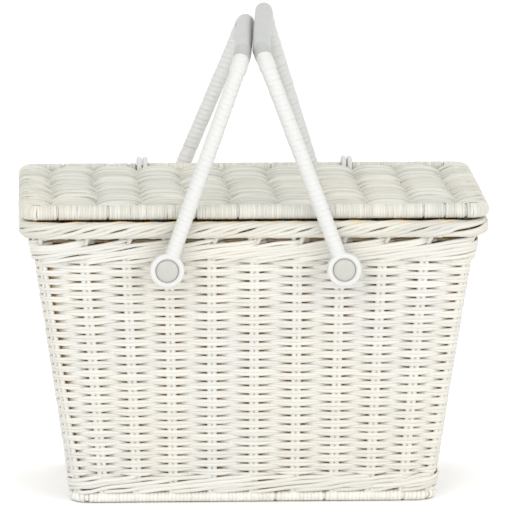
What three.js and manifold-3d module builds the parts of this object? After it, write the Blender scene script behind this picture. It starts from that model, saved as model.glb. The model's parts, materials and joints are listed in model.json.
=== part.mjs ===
// A rectangular wicker picnic basket with a rear-hinged woven lid and two swing handles.
// Millimetres, +Z up, +X to the basket's right, the front faces -Y.
// The origin lies on the ground under the middle of the foot.
import * as THREE from "three";
import { mergeVertices } from "three/addons/utils/BufferGeometryUtils.js";
import Module from "manifold-3d";

const wasm = await Module();
wasm.setup();

// ---------- driving dimensions ----------
const gap = 0.3; // between pieces that touch
const corner = 20; // outer corner radius of the basket
const arcSteps = 4; // facets in a quarter turn of an outline

const foot = { halfX: 162.5, halfY: 94, height: 10.6, width: 13 };
const lowerWaleHeight = 15.1;
const wallHeight = 195.4;
const upperWaleHeight = 14.2;
const holeRowHeight = 4.8;
const border = { height: 15, width: 13, overhang: 5.5 };
const flare = { x: 0.16, y: 0.13 }; // outward lean of the walls, per millimetre of height
const wallThickness = 9;
const waleStep = 2; // how far the upper wale stands proud of the wall
const basePanel = { bottom: 2.5, top: 10.3 };

const stake = { radius: 2, pairHalf: 2.45, clearance: 0.35, socketDepth: 6, tipShare: 0.15 };
const stakeCount = { front: 9, side: 5 };
const columnInset = { top: 43, bottom: 31 }; // from the outer corner to the last column
const footRod = { radius: 2.4, height: 8, end: 6 };
const cornerPost = { radius: 5, sides: 10, topDrop: 1 };

const lid = { rimRadius: 7, seat: 0.7, innerBend: 4, frameRadius: 3.2, frameClearance: 0.3 };
const rib = { count: 9, endSpace: 41.5, radius: 3, clearance: 0.3, sides: 8 };
const lidPanel = { margin: 1.5, groove: 4.2, crest: 6.7, steps: 4 };

const hinge = { besidePivot: 16.362, cordRadius: 2, spacing: 5.6, slack: 0.3, bend: 2.5, tieRadius: 1.6 };
const hingeNotch = { side: 0.7, behind: 0.9 };

const buttonColumn = 2; // the handles pivot at the second stake column from the middle
const pivotDrop = 5.7; // below the top of the wall
const bolt = { radius: 3, headRadius: 10.4, headHeight: 4.7, endSpace: 2 };
const boltClearance = 0.4;
const spacerRadius = 5.3;
const washer = { radius: 9, thickness: 1.8 };
const nut = { radius: 6.4, thickness: 5 };

const handle = { standoff: 13, coreRadius: 3.5, coreClearance: 0.3, wrapRadius: 6.8, bend: 22 };
const grip = { radius: 8, leftHeight: 401, rightHeight: 407, meetX: 3.5, skew: 12.6 };
const eye = { radius: 15, thickness: 13, recess: 4, recessClearance: 0.6, neck: 24, coreStart: 11.6 };

// ---------- places worked out from them ----------
const lowerWaleBottom = foot.height + gap;
const lowerWaleTop = lowerWaleBottom + lowerWaleHeight;
const wallBottom = lowerWaleTop + gap;
const wallTop = wallBottom + wallHeight;
const upperWaleBottom = wallTop + gap;
const upperWaleTop = upperWaleBottom + upperWaleHeight;
const borderBottom = upperWaleTop + holeRowHeight;
const borderTop = borderBottom + border.height;
const stakeTop = borderBottom + stake.socketDepth;
const stakeCeiling = stakeTop + stake.tipShare * stake.radius; // a leaning rod's end stands up on one side

const outerX = (z) => foot.halfX + flare.x * (z - foot.height);
const outerY = (z) => foot.halfY + flare.y * (z - foot.height);
const borderX = outerX(borderBottom) + border.overhang;
const borderY = outerY(borderBottom) + border.overhang;

const rimX = borderX - lid.rimRadius;
const rimY = borderY - lid.rimRadius;
const rimZ = borderTop + lid.seat + lid.rimRadius;
const rimCorner = lid.rimRadius + lid.innerBend;

// A long side runs along X and a short side along Y; each is drawn as the front is, then turned.
const longSide = {
  along: outerX,
  out: outerY,
  alongFlare: flare.x,
  outFlare: flare.y,
  columns: stakeCount.front,
  ownsCorner: true,
};
const shortSide = {
  along: outerY,
  out: outerX,
  alongFlare: flare.y,
  outFlare: flare.x,
  columns: stakeCount.side,
  ownsCorner: false,
};
const sides = [
  { name: "front", shape: longSide, turn: 0 },
  { name: "right", shape: shortSide, turn: Math.PI / 2 },
  { name: "back", shape: longSide, turn: Math.PI },
  { name: "left", shape: shortSide, turn: -Math.PI / 2 },
];

const pitchOf = (shape) => (shape.along(wallTop) - columnInset.top) / ((shape.columns - 1) / 2);
const pivotX = buttonColumn * pitchOf(longSide);
const pivotZ = wallTop - pivotDrop;
const hingeX = pivotX + hinge.besidePivot; // keeps the loops between two stake columns
const wallFace = outerY(pivotZ);
const meetsWale = pivotZ + spacerRadius > wallTop;
const spacerSeat = outerY(pivotZ + spacerRadius) + (meetsWale ? waleStep : 0) + gap;
const legY = borderY + handle.standoff;

// ---------- finishes ----------
const paintedCane = new THREE.MeshStandardMaterial({ color: 0xf2efe6, roughness: 0.6, metalness: 0 });
const lidCane = new THREE.MeshStandardMaterial({ color: 0xdfdfd4, roughness: 0.6, metalness: 0 });
const whiteStrip = new THREE.MeshStandardMaterial({ color: 0xeeeeec, roughness: 0.4, metalness: 0 });
const gripPlastic = new THREE.MeshStandardMaterial({ color: 0xd4d5d0, roughness: 0.35, metalness: 0 });
const buttonPlastic = new THREE.MeshStandardMaterial({ color: 0xdcdbd2, roughness: 0.3, metalness: 0 });
const zincSteel = new THREE.MeshStandardMaterial({ color: 0xb4b7b8, roughness: 0.35, metalness: 0.9 });

// ---------- solids and booleans ----------
function toSolid(geometry) {
  const bare = geometry.clone();
  bare.deleteAttribute("normal");
  bare.deleteAttribute("uv");
  const merged = mergeVertices(bare, 1e-4);
  return new wasm.Manifold(
    new wasm.Mesh({
      numProp: 3,
      vertProperties: new Float32Array(merged.attributes.position.array),
      triVerts: new Uint32Array(merged.index.array),
    }),
  );
}

function toGeometry(solid) {
  const mesh = solid.getMesh();
  const geometry = new THREE.BufferGeometry();
  geometry.setAttribute("position", new THREE.BufferAttribute(mesh.vertProperties, 3));
  geometry.setIndex(new THREE.BufferAttribute(mesh.triVerts, 1));
  return geometry;
}

function join(geometries) {
  const [first, ...others] = geometries.map(toSolid);
  return toGeometry(others.reduce((whole, next) => whole.add(next), first));
}

function cut(geometry, tools) {
  return toGeometry(tools.map(toSolid).reduce((whole, tool) => whole.subtract(tool), toSolid(geometry)));
}

function piece(name, geometry, material) {
  const flat = geometry.index ? geometry.toNonIndexed() : geometry;
  flat.computeVertexNormals();
  const mesh = new THREE.Mesh(flat, material);
  mesh.name = name;
  return mesh;
}

// ---------- shared shapes ----------
// A rectangle with rounded corners, counterclockwise.
function roundedOutline(halfX, halfY, radius) {
  const points = [];
  for (let quarter = 0; quarter < 4; quarter++) {
    const cx = (halfX - radius) * (quarter === 0 || quarter === 3 ? 1 : -1);
    const cy = (halfY - radius) * (quarter < 2 ? 1 : -1);
    for (let i = 0; i <= arcSteps; i++) {
      const angle = (quarter + i / arcSteps) * (Math.PI / 2);
      points.push(new THREE.Vector2(cx + radius * Math.cos(angle), cy + radius * Math.sin(angle)));
    }
  }
  return points;
}

function rectangle(halfX, halfY) {
  const corners = [[1, 1], [-1, 1], [-1, -1], [1, -1]];
  return corners.map(([x, y]) => new THREE.Vector2(x * halfX, y * halfY));
}

// Extrudes an outline upwards; each point moves outwards by the flare as it rises.
function flaredPrism(outline, hole, bottom, top, flareX, flareY) {
  const shape = new THREE.Shape(outline);
  if (hole) shape.holes.push(new THREE.Path(hole));
  const geometry = new THREE.ExtrudeGeometry(shape, { depth: top - bottom, bevelEnabled: false });
  const position = geometry.attributes.position;
  for (let i = 0; i < position.count; i++) {
    const rise = position.getZ(i);
    position.setX(i, position.getX(i) + Math.sign(position.getX(i)) * flareX * rise);
    position.setY(i, position.getY(i) + Math.sign(position.getY(i)) * flareY * rise);
    position.setZ(i, bottom + rise);
  }
  return geometry;
}

// A ring with a rounded outside and a square-cornered inside.
function ring(halfX, halfY, width, bottom, top, flareX = 0, flareY = 0) {
  const outside = roundedOutline(halfX, halfY, corner);
  const inside = rectangle(halfX - width, halfY - width);
  return flaredPrism(outside, inside, bottom, top, flareX, flareY);
}

function rod(from, to, radius, sideCount) {
  const line = new THREE.Vector3().subVectors(to, from);
  const geometry = new THREE.CylinderGeometry(radius, radius, line.length(), sideCount);
  geometry.translate(0, line.length() / 2, 0);
  const turn = new THREE.Quaternion().setFromUnitVectors(new THREE.Vector3(0, 1, 0), line.normalize());
  geometry.applyQuaternion(turn);
  geometry.translate(from.x, from.y, from.z);
  return geometry;
}

function boxBetween(low, high) {
  const geometry = new THREE.BoxGeometry(high[0] - low[0], high[1] - low[1], high[2] - low[2]);
  return geometry.translate((low[0] + high[0]) / 2, (low[1] + high[1]) / 2, (low[2] + high[2]) / 2);
}

// Stations of a flat path: each is a point and the direction of travel there.
function arcStations(centre, radius, from, to, steps) {
  const turn = Math.sign(to - from);
  return Array.from({ length: steps + 1 }, (_, i) => {
    const angle = from + ((to - from) * i) / steps;
    return {
      x: centre[0] + radius * Math.cos(angle),
      y: centre[1] + radius * Math.sin(angle),
      heading: angle + (turn * Math.PI) / 2,
    };
  });
}

// A tube along flat stations in the XY plane, solid or with a bore, open-ended or closed on itself.
function tube(stations, radius, sideCount, { bore = 0, closed = false } = {}) {
  const vertices = [];
  const triangles = [];
  const circle = (station, r) => {
    for (let k = 0; k < sideCount; k++) {
      const angle = (2 * Math.PI * k) / sideCount;
      const side = r * Math.cos(angle);
      const x = station.x - side * Math.sin(station.heading);
      const y = station.y + side * Math.cos(station.heading);
      vertices.push(x, y, r * Math.sin(angle));
    }
  };
  const count = stations.length;
  const skin = (start, outward) => {
    const spans = closed ? count : count - 1;
    for (let i = 0; i < spans; i++) {
      for (let k = 0; k < sideCount; k++) {
        const next = (k + 1) % sideCount;
        const here = start + i * sideCount;
        const there = start + ((i + 1) % count) * sideCount;
        const faces = [[here + k, here + next, there + next], [here + k, there + next, there + k]];
        for (const [a, b, c] of faces) triangles.push(...(outward ? [a, b, c] : [a, c, b]));
      }
    }
  };
  stations.forEach((station) => circle(station, radius));
  skin(0, true);
  if (bore > 0) {
    stations.forEach((station) => circle(station, bore));
    skin(count * sideCount, false);
  }
  if (!closed) {
    const lastOuter = (count - 1) * sideCount;
    for (let k = 0; k < sideCount; k++) {
      const next = (k + 1) % sideCount;
      if (bore > 0) {
        const inner = count * sideCount;
        triangles.push(k, inner + k, inner + next, k, inner + next, next);
        triangles.push(lastOuter + k, lastOuter + next, inner + lastOuter + next);
        triangles.push(lastOuter + k, inner + lastOuter + next, inner + lastOuter + k);
      } else if (k > 0 && next > 0) {
        triangles.push(0, next, k);
        triangles.push(lastOuter, lastOuter + k, lastOuter + next);
      }
    }
  }
  const geometry = new THREE.BufferGeometry();
  geometry.setAttribute("position", new THREE.Float32BufferAttribute(vertices, 3));
  geometry.setIndex(triangles);
  return geometry;
}

// Stands a flat tube up in the YZ plane: its x runs along Y and its y along Z.
function standUp(geometry) {
  const axes = [new THREE.Vector3(0, 1, 0), new THREE.Vector3(0, 0, 1), new THREE.Vector3(1, 0, 0)];
  return geometry.applyMatrix4(new THREE.Matrix4().makeBasis(...axes));
}

// A turned piece about a line parallel to Y; profile points are [radius, y].
function turned(profile, sideCount) {
  const points = profile.map(([radius, y]) => new THREE.Vector2(radius, y));
  return new THREE.LatheGeometry(points, sideCount);
}

// ---------- the woven tub ----------
// The middle of a stake column at a height, in the front's own drawing.
function column(shape, index, z) {
  const last = (shape.columns - 1) / 2;
  const top = index * pitchOf(shape);
  const lean = shape.along(wallTop) - columnInset.top - (shape.along(foot.height) - columnInset.bottom);
  const bottom = top - Math.sign(index) * lean * (index / last) ** 2;
  const share = (z - footRod.height) / (stakeTop - footRod.height);
  return new THREE.Vector3(
    bottom + (top - bottom) * share,
    -(shape.out(z) - wallThickness / 2),
    z,
  );
}

// The two rods of a pair stand further apart where a handle bolt passes between them.
function pairHalf(shape, index, z) {
  if (shape !== longSide || Math.abs(index) !== buttonColumn) return stake.pairHalf;
  const wide = bolt.radius + boltClearance + stake.radius + 2 * gap;
  const share = (z - footRod.height) / (pivotZ - footRod.height);
  return stake.pairHalf + (wide - stake.pairHalf) * share;
}

const columnIndexes = (shape) =>
  Array.from({ length: shape.columns }, (_, i) => i - (shape.columns - 1) / 2);

// A slot that one stake pair passes through, with clearance all round.
function stakeSlot(shape, index, bottom, top) {
  const geometry = new THREE.BoxGeometry(1, 1, 1);
  const position = geometry.attributes.position;
  for (let i = 0; i < position.count; i++) {
    const z = position.getZ(i) < 0 ? bottom : top;
    const middle = column(shape, index, z);
    const halfWidth = pairHalf(shape, index, z) + stake.radius + stake.clearance;
    const halfDepth = stake.radius + stake.clearance;
    const x = middle.x + 2 * position.getX(i) * halfWidth;
    const y = middle.y + 2 * position.getY(i) * halfDepth;
    position.setXYZ(i, x, y, z);
  }
  return geometry;
}

function allSlots(bottom, top) {
  return sides.flatMap(({ shape, turn }) =>
    columnIndexes(shape).map((index) => stakeSlot(shape, index, bottom, top).rotateZ(turn)),
  );
}

function footRodHalf(shape) {
  const last = (shape.columns - 1) / 2;
  return column(shape, last, footRod.height).x + footRod.end;
}

function stakeComb(shape) {
  const rodY = column(shape, 0, footRod.height).y;
  const half = footRodHalf(shape);
  const from = new THREE.Vector3(-half, rodY, footRod.height);
  const to = new THREE.Vector3(half, rodY, footRod.height);
  const rods = [rod(from, to, footRod.radius, 6)];
  for (const index of columnIndexes(shape)) {
    for (const hand of [-1, 1]) {
      const ends = [footRod.height, stakeTop].map((z) => {
        const end = column(shape, index, z);
        end.x += hand * pairHalf(shape, index, z);
        return end;
      });
      rods.push(rod(ends[0], ends[1], stake.radius, 6));
    }
  }
  return join(rods);
}

function baseBorder() {
  const floor = footRod.height - footRod.radius - gap;
  const grooves = sides.map(({ shape, turn }) => {
    const middle = column(shape, 0, footRod.height).y;
    const half = footRodHalf(shape) + gap;
    const reach = footRod.radius + 2 * gap;
    const low = [-half, middle - reach, floor];
    const high = [half, middle + reach, foot.height + 1];
    return boxBetween(low, high).rotateZ(turn);
  });
  return cut(ring(foot.halfX, foot.halfY, foot.width, 0, foot.height), grooves);
}

function wallRing(bottom, top, proud) {
  const width = wallThickness + proud;
  const solidRing = ring(outerX(bottom) + proud, outerY(bottom) + proud, width, bottom, top, flare.x, flare.y);
  return cut(solidRing, allSlots(bottom - 1, top + 1));
}

function topBorder() {
  const solidRing = ring(borderX, borderY, border.width, borderBottom, borderTop);
  return cut(solidRing, allSlots(borderBottom - 1, stakeCeiling));
}

// One wall of weave. The long walls take the rounded corners; the short walls butt between them.
function weaveWall(shape) {
  const along = shape.along(wallBottom);
  const out = shape.out(wallBottom);
  const reach = corner - wallThickness - gap;
  const sweep = shape.ownsCorner ? Math.acos((corner - wallThickness) / corner) : Math.asin(reach / corner);
  const rightHalf = [];
  for (let i = 0; i <= arcSteps; i++) {
    const angle = (sweep * i) / arcSteps;
    const x = along - corner + corner * Math.sin(angle);
    const y = -(out - corner + corner * Math.cos(angle));
    rightHalf.push(new THREE.Vector2(x, y));
  }
  const end = rightHalf[arcSteps];
  if (!shape.ownsCorner) rightHalf.push(new THREE.Vector2(end.x, -(out - wallThickness)));
  const leftHalf = rightHalf.map((p) => new THREE.Vector2(-p.x, p.y)).reverse();
  const outline = [...rightHalf, ...leftHalf];
  const slab = flaredPrism(outline, null, wallBottom, wallTop, shape.alongFlare, shape.outFlare);
  const slots = columnIndexes(shape).map((index) => stakeSlot(shape, index, wallBottom - 1, wallTop + 1));
  return shape.ownsCorner ? cut(slab, [...slots, ...boltHoles()]) : cut(slab, slots);
}

function boltHoles() {
  return [-1, 1].map((hand) => {
    const from = new THREE.Vector3(hand * pivotX, -wallFace - wallThickness, pivotZ);
    const to = new THREE.Vector3(hand * pivotX, -wallFace + 2 * wallThickness, pivotZ);
    return rod(from, to, bolt.radius + boltClearance, 12);
  });
}

function basePlate() {
  const halfX = foot.halfX - foot.width - gap;
  const halfY = foot.halfY - foot.width - gap;
  return boxBetween([-halfX, -halfY, basePanel.bottom], [halfX, halfY, basePanel.top]);
}

function cornerPostRod(handX, handY) {
  const inset = wallThickness + cornerPost.radius + 2 * gap;
  const at = (z) => new THREE.Vector3(handX * (outerX(z) - inset), handY * (outerY(z) - inset), z);
  const tilt = cornerPost.radius * (flare.x + flare.y);
  const bottom = at(foot.height + gap + tilt);
  const top = at(borderBottom - cornerPost.topDrop - tilt);
  return rod(bottom, top, cornerPost.radius, cornerPost.sides);
}

// ---------- the lid ----------
function rimStations() {
  const stations = [];
  for (let quarter = 0; quarter < 4; quarter++) {
    const cx = (rimX - rimCorner) * (quarter === 0 || quarter === 3 ? 1 : -1);
    const cy = (rimY - rimCorner) * (quarter < 2 ? 1 : -1);
    const start = (quarter * Math.PI) / 2;
    stations.push(...arcStations([cx, cy], rimCorner, start, start + Math.PI / 2, arcSteps));
  }
  return stations;
}

const ribPitch = (rimX - rib.endSpace) / ((rib.count - 1) / 2);
const ribIndexes = Array.from({ length: rib.count }, (_, i) => i - (rib.count - 1) / 2);
const ribHalf = rimY - lid.frameRadius - lid.frameClearance - gap;

function lidFrame() {
  return tube(rimStations(), lid.frameRadius, 10, { closed: true }).translate(0, 0, rimZ);
}

function lidBinding() {
  const bore = lid.frameRadius + lid.frameClearance;
  const shell = tube(rimStations(), lid.rimRadius, 10, { bore, closed: true }).translate(0, 0, rimZ);
  const holes = ribIndexes.map((index) => {
    const from = new THREE.Vector3(index * ribPitch, -rimY, rimZ);
    const to = new THREE.Vector3(index * ribPitch, rimY, rimZ);
    return rod(from, to, rib.radius + rib.clearance, rib.sides);
  });
  return cut(shell, holes);
}

function lidRib(index) {
  const from = new THREE.Vector3(index * ribPitch, -ribHalf, rimZ);
  const to = new THREE.Vector3(index * ribPitch, ribHalf, rimZ);
  return rod(from, to, rib.radius, rib.sides);
}

// The woven panel swells over each rib and dips between ribs.
function lidWeave() {
  const halfX = rimX - lid.rimRadius - lidPanel.margin;
  const halfY = rimY - lid.rimRadius - lidPanel.margin;
  const step = ribPitch / lidPanel.steps;
  const count = Math.floor(halfX / step);
  const xs = [-halfX];
  for (let i = -count; i <= count; i++) if (halfX - Math.abs(i * step) > gap) xs.push(i * step);
  xs.push(halfX);
  const swell = (x) => lidPanel.groove + (lidPanel.crest - lidPanel.groove) * Math.cos((Math.PI * x) / ribPitch) ** 2;
  const topEdge = xs.map((x) => new THREE.Vector2(x, swell(x)));
  const bottomEdge = xs.map((x) => new THREE.Vector2(x, -swell(x)));
  const shape = new THREE.Shape([...bottomEdge, ...topEdge.reverse()]);
  for (const index of ribIndexes) {
    const circle = new THREE.Path();
    circle.absarc(index * ribPitch, 0, rib.radius + rib.clearance, 0, 2 * Math.PI);
    shape.holes.push(circle);
  }
  const settings = { depth: 2 * halfY, bevelEnabled: false, curveSegments: 6 };
  const panel = new THREE.ExtrudeGeometry(shape, settings);
  panel.rotateX(Math.PI / 2).translate(0, halfY, rimZ);
  const notches = [-1, 1].map((hand) => {
    const halfWidth = hinge.spacing / 2 + hinge.cordRadius + hingeNotch.side;
    const front = rimY - hingeReach() - hinge.cordRadius - hingeNotch.behind;
    const low = [hand * hingeX - halfWidth, front, rimZ - 2 * lidPanel.crest];
    const high = [hand * hingeX + halfWidth, halfY + 1, rimZ + 2 * lidPanel.crest];
    return boxBetween(low, high);
  });
  return cut(panel, notches);
}

// From the rim's axis out to the middle of a hinge cord, clear of the rim and of the border.
function hingeReach() {
  const borderInside = border.width - lid.rimRadius;
  return Math.max(lid.rimRadius, borderInside) + hinge.slack + hinge.cordRadius;
}

// Two turns of cord round the rear rim rod and the top border, tied to each other inside.
function hingeLoop() {
  const reach = hingeReach();
  const low = upperWaleTop + holeRowHeight / 2 - rimZ;
  const bend = hinge.bend;
  const overTop = arcStations([0, 0], reach, 0, Math.PI, 8);
  const downInside = arcStations([-reach + bend, low + bend], bend, Math.PI, 1.5 * Math.PI, 3);
  const upOutside = arcStations([reach - bend, low + bend], bend, 1.5 * Math.PI, 2 * Math.PI, 3);
  const stations = [...overTop, ...downInside, ...upOutside];
  const turns = [-1, 1].map((hand) => {
    const turn = standUp(tube(stations, hinge.cordRadius, 6, { closed: true }));
    return turn.translate((hand * hinge.spacing) / 2, rimY, rimZ);
  });
  const tieZ = borderBottom + border.height / 2;
  const ends = [-1, 1].map((hand) => new THREE.Vector3((hand * hinge.spacing) / 2, rimY - reach, tieZ));
  return join([...turns, rod(ends[0], ends[1], hinge.tieRadius, 6)]);
}

// ---------- the handle pivots ----------
const eyeInside = legY - eye.thickness / 2;
const eyeOutside = legY + eye.thickness / 2;
const headBack = eyeOutside - eye.recess + gap;
const wallBack = outerY(pivotZ - washer.radius) - wallThickness;
const washerFront = wallBack - gap;
const nutFront = washerFront - washer.thickness - gap;
const boltEnd = nutFront - nut.thickness - bolt.endSpace;

function pivotBolt() {
  const crown = headBack + bolt.headHeight;
  const brim = headBack + bolt.headHeight * 0.45;
  const shoulder = headBack + bolt.headHeight * 0.85;
  const profile = [
    [0, boltEnd],
    [bolt.radius, boltEnd],
    [bolt.radius, headBack],
    [bolt.headRadius, headBack],
    [bolt.headRadius, brim],
    [bolt.headRadius * 0.75, shoulder],
    [0, crown],
  ];
  return turned(profile, 16);
}

// A ring of square section about the bolt; the flats of its bore keep the clearance.
function collar(radius, low, high, sideCount) {
  const bore = (bolt.radius + boltClearance) / Math.cos(Math.PI / sideCount);
  return turned([[bore, low], [radius, low], [radius, high], [bore, high], [bore, low]], sideCount);
}

const pivotPieces = [
  ["bolt", pivotBolt, buttonPlastic],
  ["spacer", () => collar(spacerRadius, spacerSeat, eyeInside - gap, 12), whiteStrip],
  ["washer", () => collar(washer.radius, washerFront - washer.thickness, washerFront, 12), zincSteel],
  ["nut", () => collar(nut.radius, nutFront - nut.thickness, nutFront, 6), zincSteel],
];

// Turned pieces are drawn for the back face; half a turn about Z brings them to the front.
function pivotGroup(hand, face) {
  const group = new THREE.Group();
  const front = face === "front";
  group.position.set(hand * pivotX, 0, pivotZ);
  group.rotation.z = front ? Math.PI : 0;
  const side = hand < 0 ? "left" : "right";
  for (const [kind, make, material] of pivotPieces) {
    group.add(piece(`${side}_${face}_pivot_${kind}`, make(), material));
  }
  return group;
}

// ---------- the handles ----------
function handlePlaces() {
  const apart = 2 * grip.radius + gap;
  return [
    { side: "left", pivot: -pivotX, x: grip.meetX - apart / 2, z: grip.leftHeight },
    { side: "right", pivot: pivotX, x: grip.meetX + apart / 2, z: grip.rightHeight },
  ];
}

// The bail's path from the front eye over the top to the back eye, in its own plane.
function bailStations(length, start) {
  const inner = legY - handle.bend;
  const top = length - handle.bend;
  return [
    { x: -legY, y: start, heading: Math.PI / 2 },
    ...arcStations([-inner, top], handle.bend, Math.PI, Math.PI / 2, 6),
    ...arcStations([inner, top], handle.bend, Math.PI / 2, 0, 6),
    { x: legY, y: start, heading: -Math.PI / 2 },
  ];
}

function handleEye() {
  const disc = rod(new THREE.Vector3(0, eyeInside, 0), new THREE.Vector3(0, eyeOutside, 0), eye.radius, 24);
  const neck = rod(new THREE.Vector3(0, legY, 0), new THREE.Vector3(0, legY, eye.neck), handle.wrapRadius, 12);
  const recessRadius = bolt.headRadius + eye.recessClearance;
  const recessFloor = new THREE.Vector3(0, eyeOutside - eye.recess, 0);
  const recess = rod(recessFloor, new THREE.Vector3(0, eyeOutside + 1, 0), recessRadius, 20);
  const hole = rod(
    new THREE.Vector3(0, eyeInside - 1, 0),
    new THREE.Vector3(0, eyeOutside + 1, 0),
    bolt.radius + boltClearance,
    12,
  );
  const socket = rod(
    new THREE.Vector3(0, legY, eye.coreStart - gap),
    new THREE.Vector3(0, legY, eye.neck + 1),
    handle.coreRadius + handle.coreClearance,
    8,
  );
  return cut(join([disc, neck]), [recess, hole, socket]);
}

// The bail is sprung out of flat: its back leg leans further right than its front leg, and the grip crosses over.
function sprung(geometry, length) {
  const most = Math.asin(grip.skew / 2 / length);
  const position = geometry.attributes.position;
  for (let i = 0; i < position.count; i++) {
    const share = THREE.MathUtils.clamp(position.getY(i) / (legY - handle.bend), -1, 1);
    const point = new THREE.Vector3().fromBufferAttribute(position, i);
    point.applyAxisAngle(new THREE.Vector3(0, 1, 0), most * share);
    position.setXYZ(i, point.x, point.y, point.z);
  }
  return geometry;
}

function handleGroup({ side, pivot, x, z }) {
  const group = new THREE.Group();
  const length = Math.hypot(x - pivot, z - pivotZ);
  const add = (name, geometry, material) => group.add(piece(name, sprung(geometry, length), material));
  group.position.set(pivot, 0, pivotZ);
  group.rotation.y = Math.atan2(x - pivot, z - pivotZ);
  const bore = handle.coreRadius + handle.coreClearance;
  const core = standUp(tube(bailStations(length, eye.coreStart), handle.coreRadius, 8));
  add(`${side}_handle_core`, core, paintedCane);

  const gripHalf = legY - handle.bend - gap;
  const gripEnds = [-1, 1].map((end) => ({ x: end * gripHalf, y: length, heading: 0 }));
  const gripTube = standUp(tube(gripEnds, grip.radius, 16, { bore }));
  add(`${side}_handle_grip`, gripTube, gripPlastic);

  for (const face of ["front", "back"]) {
    const turn = face === "front" ? Math.PI : 0;
    const leg = bailStations(length, eye.neck + gap).slice(8);
    const wrap = standUp(tube(leg, handle.wrapRadius, 10, { bore })).rotateZ(turn);
    add(`${side}_handle_${face}_wrap`, wrap, whiteStrip);
    add(`${side}_handle_${face}_eye`, handleEye().rotateZ(turn), whiteStrip);
  }
  return group;
}

// ---------- the whole basket ----------
const basket = new THREE.Group();
basket.name = "wicker_picnic_basket";
basket.add(piece("base_panel", basePlate(), paintedCane));
basket.add(piece("base_border", baseBorder(), paintedCane));
basket.add(piece("lower_wale", wallRing(lowerWaleBottom, lowerWaleTop, 0), paintedCane));
basket.add(piece("upper_wale", wallRing(upperWaleBottom, upperWaleTop, waleStep), paintedCane));
basket.add(piece("top_border", topBorder(), paintedCane));
for (const { name, shape, turn } of sides) {
  basket.add(piece(`${name}_weave`, weaveWall(shape).rotateZ(turn), paintedCane));
  basket.add(piece(`${name}_stakes`, stakeComb(shape).rotateZ(turn), paintedCane));
}
for (const [handY, depth] of [[-1, "front"], [1, "back"]]) {
  for (const [handX, side] of [[-1, "left"], [1, "right"]]) {
    basket.add(piece(`${depth}_${side}_corner_post`, cornerPostRod(handX, handY), paintedCane));
    basket.add(pivotGroup(handX, depth));
  }
}
for (const [hand, side] of [[-1, "left"], [1, "right"]]) {
  basket.add(piece(`${side}_hinge_loop`, hingeLoop().translate(hand * hingeX, 0, 0), whiteStrip));
}
basket.add(piece("lid_frame", lidFrame(), lidCane));
basket.add(piece("lid_binding", lidBinding(), paintedCane));
basket.add(piece("lid_weave", lidWeave(), lidCane));
ribIndexes.forEach((index, i) => basket.add(piece(`lid_rib_${i + 1}`, lidRib(index), lidCane)));
for (const place of handlePlaces()) basket.add(handleGroup(place));

export default basket;
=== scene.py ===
import json
import math

import bpy
import numpy as np
from bpy.props import FloatProperty, FloatVectorProperty, IntProperty, PointerProperty
from mathutils import Matrix, Vector


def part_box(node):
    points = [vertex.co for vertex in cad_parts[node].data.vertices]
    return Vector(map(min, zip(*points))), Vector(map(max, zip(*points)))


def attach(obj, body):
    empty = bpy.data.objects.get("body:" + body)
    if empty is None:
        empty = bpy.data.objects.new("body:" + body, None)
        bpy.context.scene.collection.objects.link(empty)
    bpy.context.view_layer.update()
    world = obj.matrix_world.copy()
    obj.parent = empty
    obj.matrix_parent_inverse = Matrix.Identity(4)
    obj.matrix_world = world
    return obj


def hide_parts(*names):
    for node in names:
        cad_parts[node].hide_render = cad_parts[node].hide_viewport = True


bl_info = {
    "name": "Wicker Picnic Basket",
    "version": (1, 0, 0),
    "blender": (4, 5, 0),
    "location": "View3D > Sidebar > Basket",
    "description": "Weaves, binds and finishes a painted wicker picnic basket around its frame",
    "category": "Add Mesh",
}

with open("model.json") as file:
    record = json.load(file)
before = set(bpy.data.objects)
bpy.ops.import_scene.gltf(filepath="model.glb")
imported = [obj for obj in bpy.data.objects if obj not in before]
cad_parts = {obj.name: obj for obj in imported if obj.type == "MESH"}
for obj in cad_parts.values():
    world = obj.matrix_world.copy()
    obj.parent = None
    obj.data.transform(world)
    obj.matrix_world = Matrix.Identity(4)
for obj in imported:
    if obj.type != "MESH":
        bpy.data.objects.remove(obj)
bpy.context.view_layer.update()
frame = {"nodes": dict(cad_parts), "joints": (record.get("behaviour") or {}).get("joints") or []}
MM = 0.001
TAU = 2 * math.pi
SIDES = ("left", "right")
HANDS = (-1, 1)  # the two canes or stakes of a pair
FACES = (("front", -1), ("back", 1))

# ---------------------------------------------------------------- measures taken from the frame
FOOT_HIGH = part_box("base_border")[1]
LOWER_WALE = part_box("lower_wale")
WALL_LOW, WALL_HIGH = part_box("front_weave")
UPPER_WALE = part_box("upper_wale")
BORDER_LOW, BORDER_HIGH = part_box("top_border")
RIM_LOW, RIM_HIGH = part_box("lid_binding")
STAKE_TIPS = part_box("front_stakes")[1]
JOINTS = {joint["name"]: joint for joint in frame["joints"]}

RISE = WALL_HIGH.z - FOOT_HIGH.z
FLARE = ((WALL_HIGH.x - FOOT_HIGH.x) / RISE, (-WALL_LOW.y - FOOT_HIGH.y) / RISE)
RIM_RADIUS = (RIM_HIGH.z - RIM_LOW.z) / 2
RIM_Z = (RIM_HIGH.z + RIM_LOW.z) / 2
RIM_X = RIM_HIGH.x - RIM_RADIUS
RIM_Y = RIM_HIGH.y - RIM_RADIUS
RIB_COUNT = 9
RIB_PITCH = (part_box("lid_rib_9")[0].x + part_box("lid_rib_9")[1].x) / (RIB_COUNT - 1)

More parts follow.
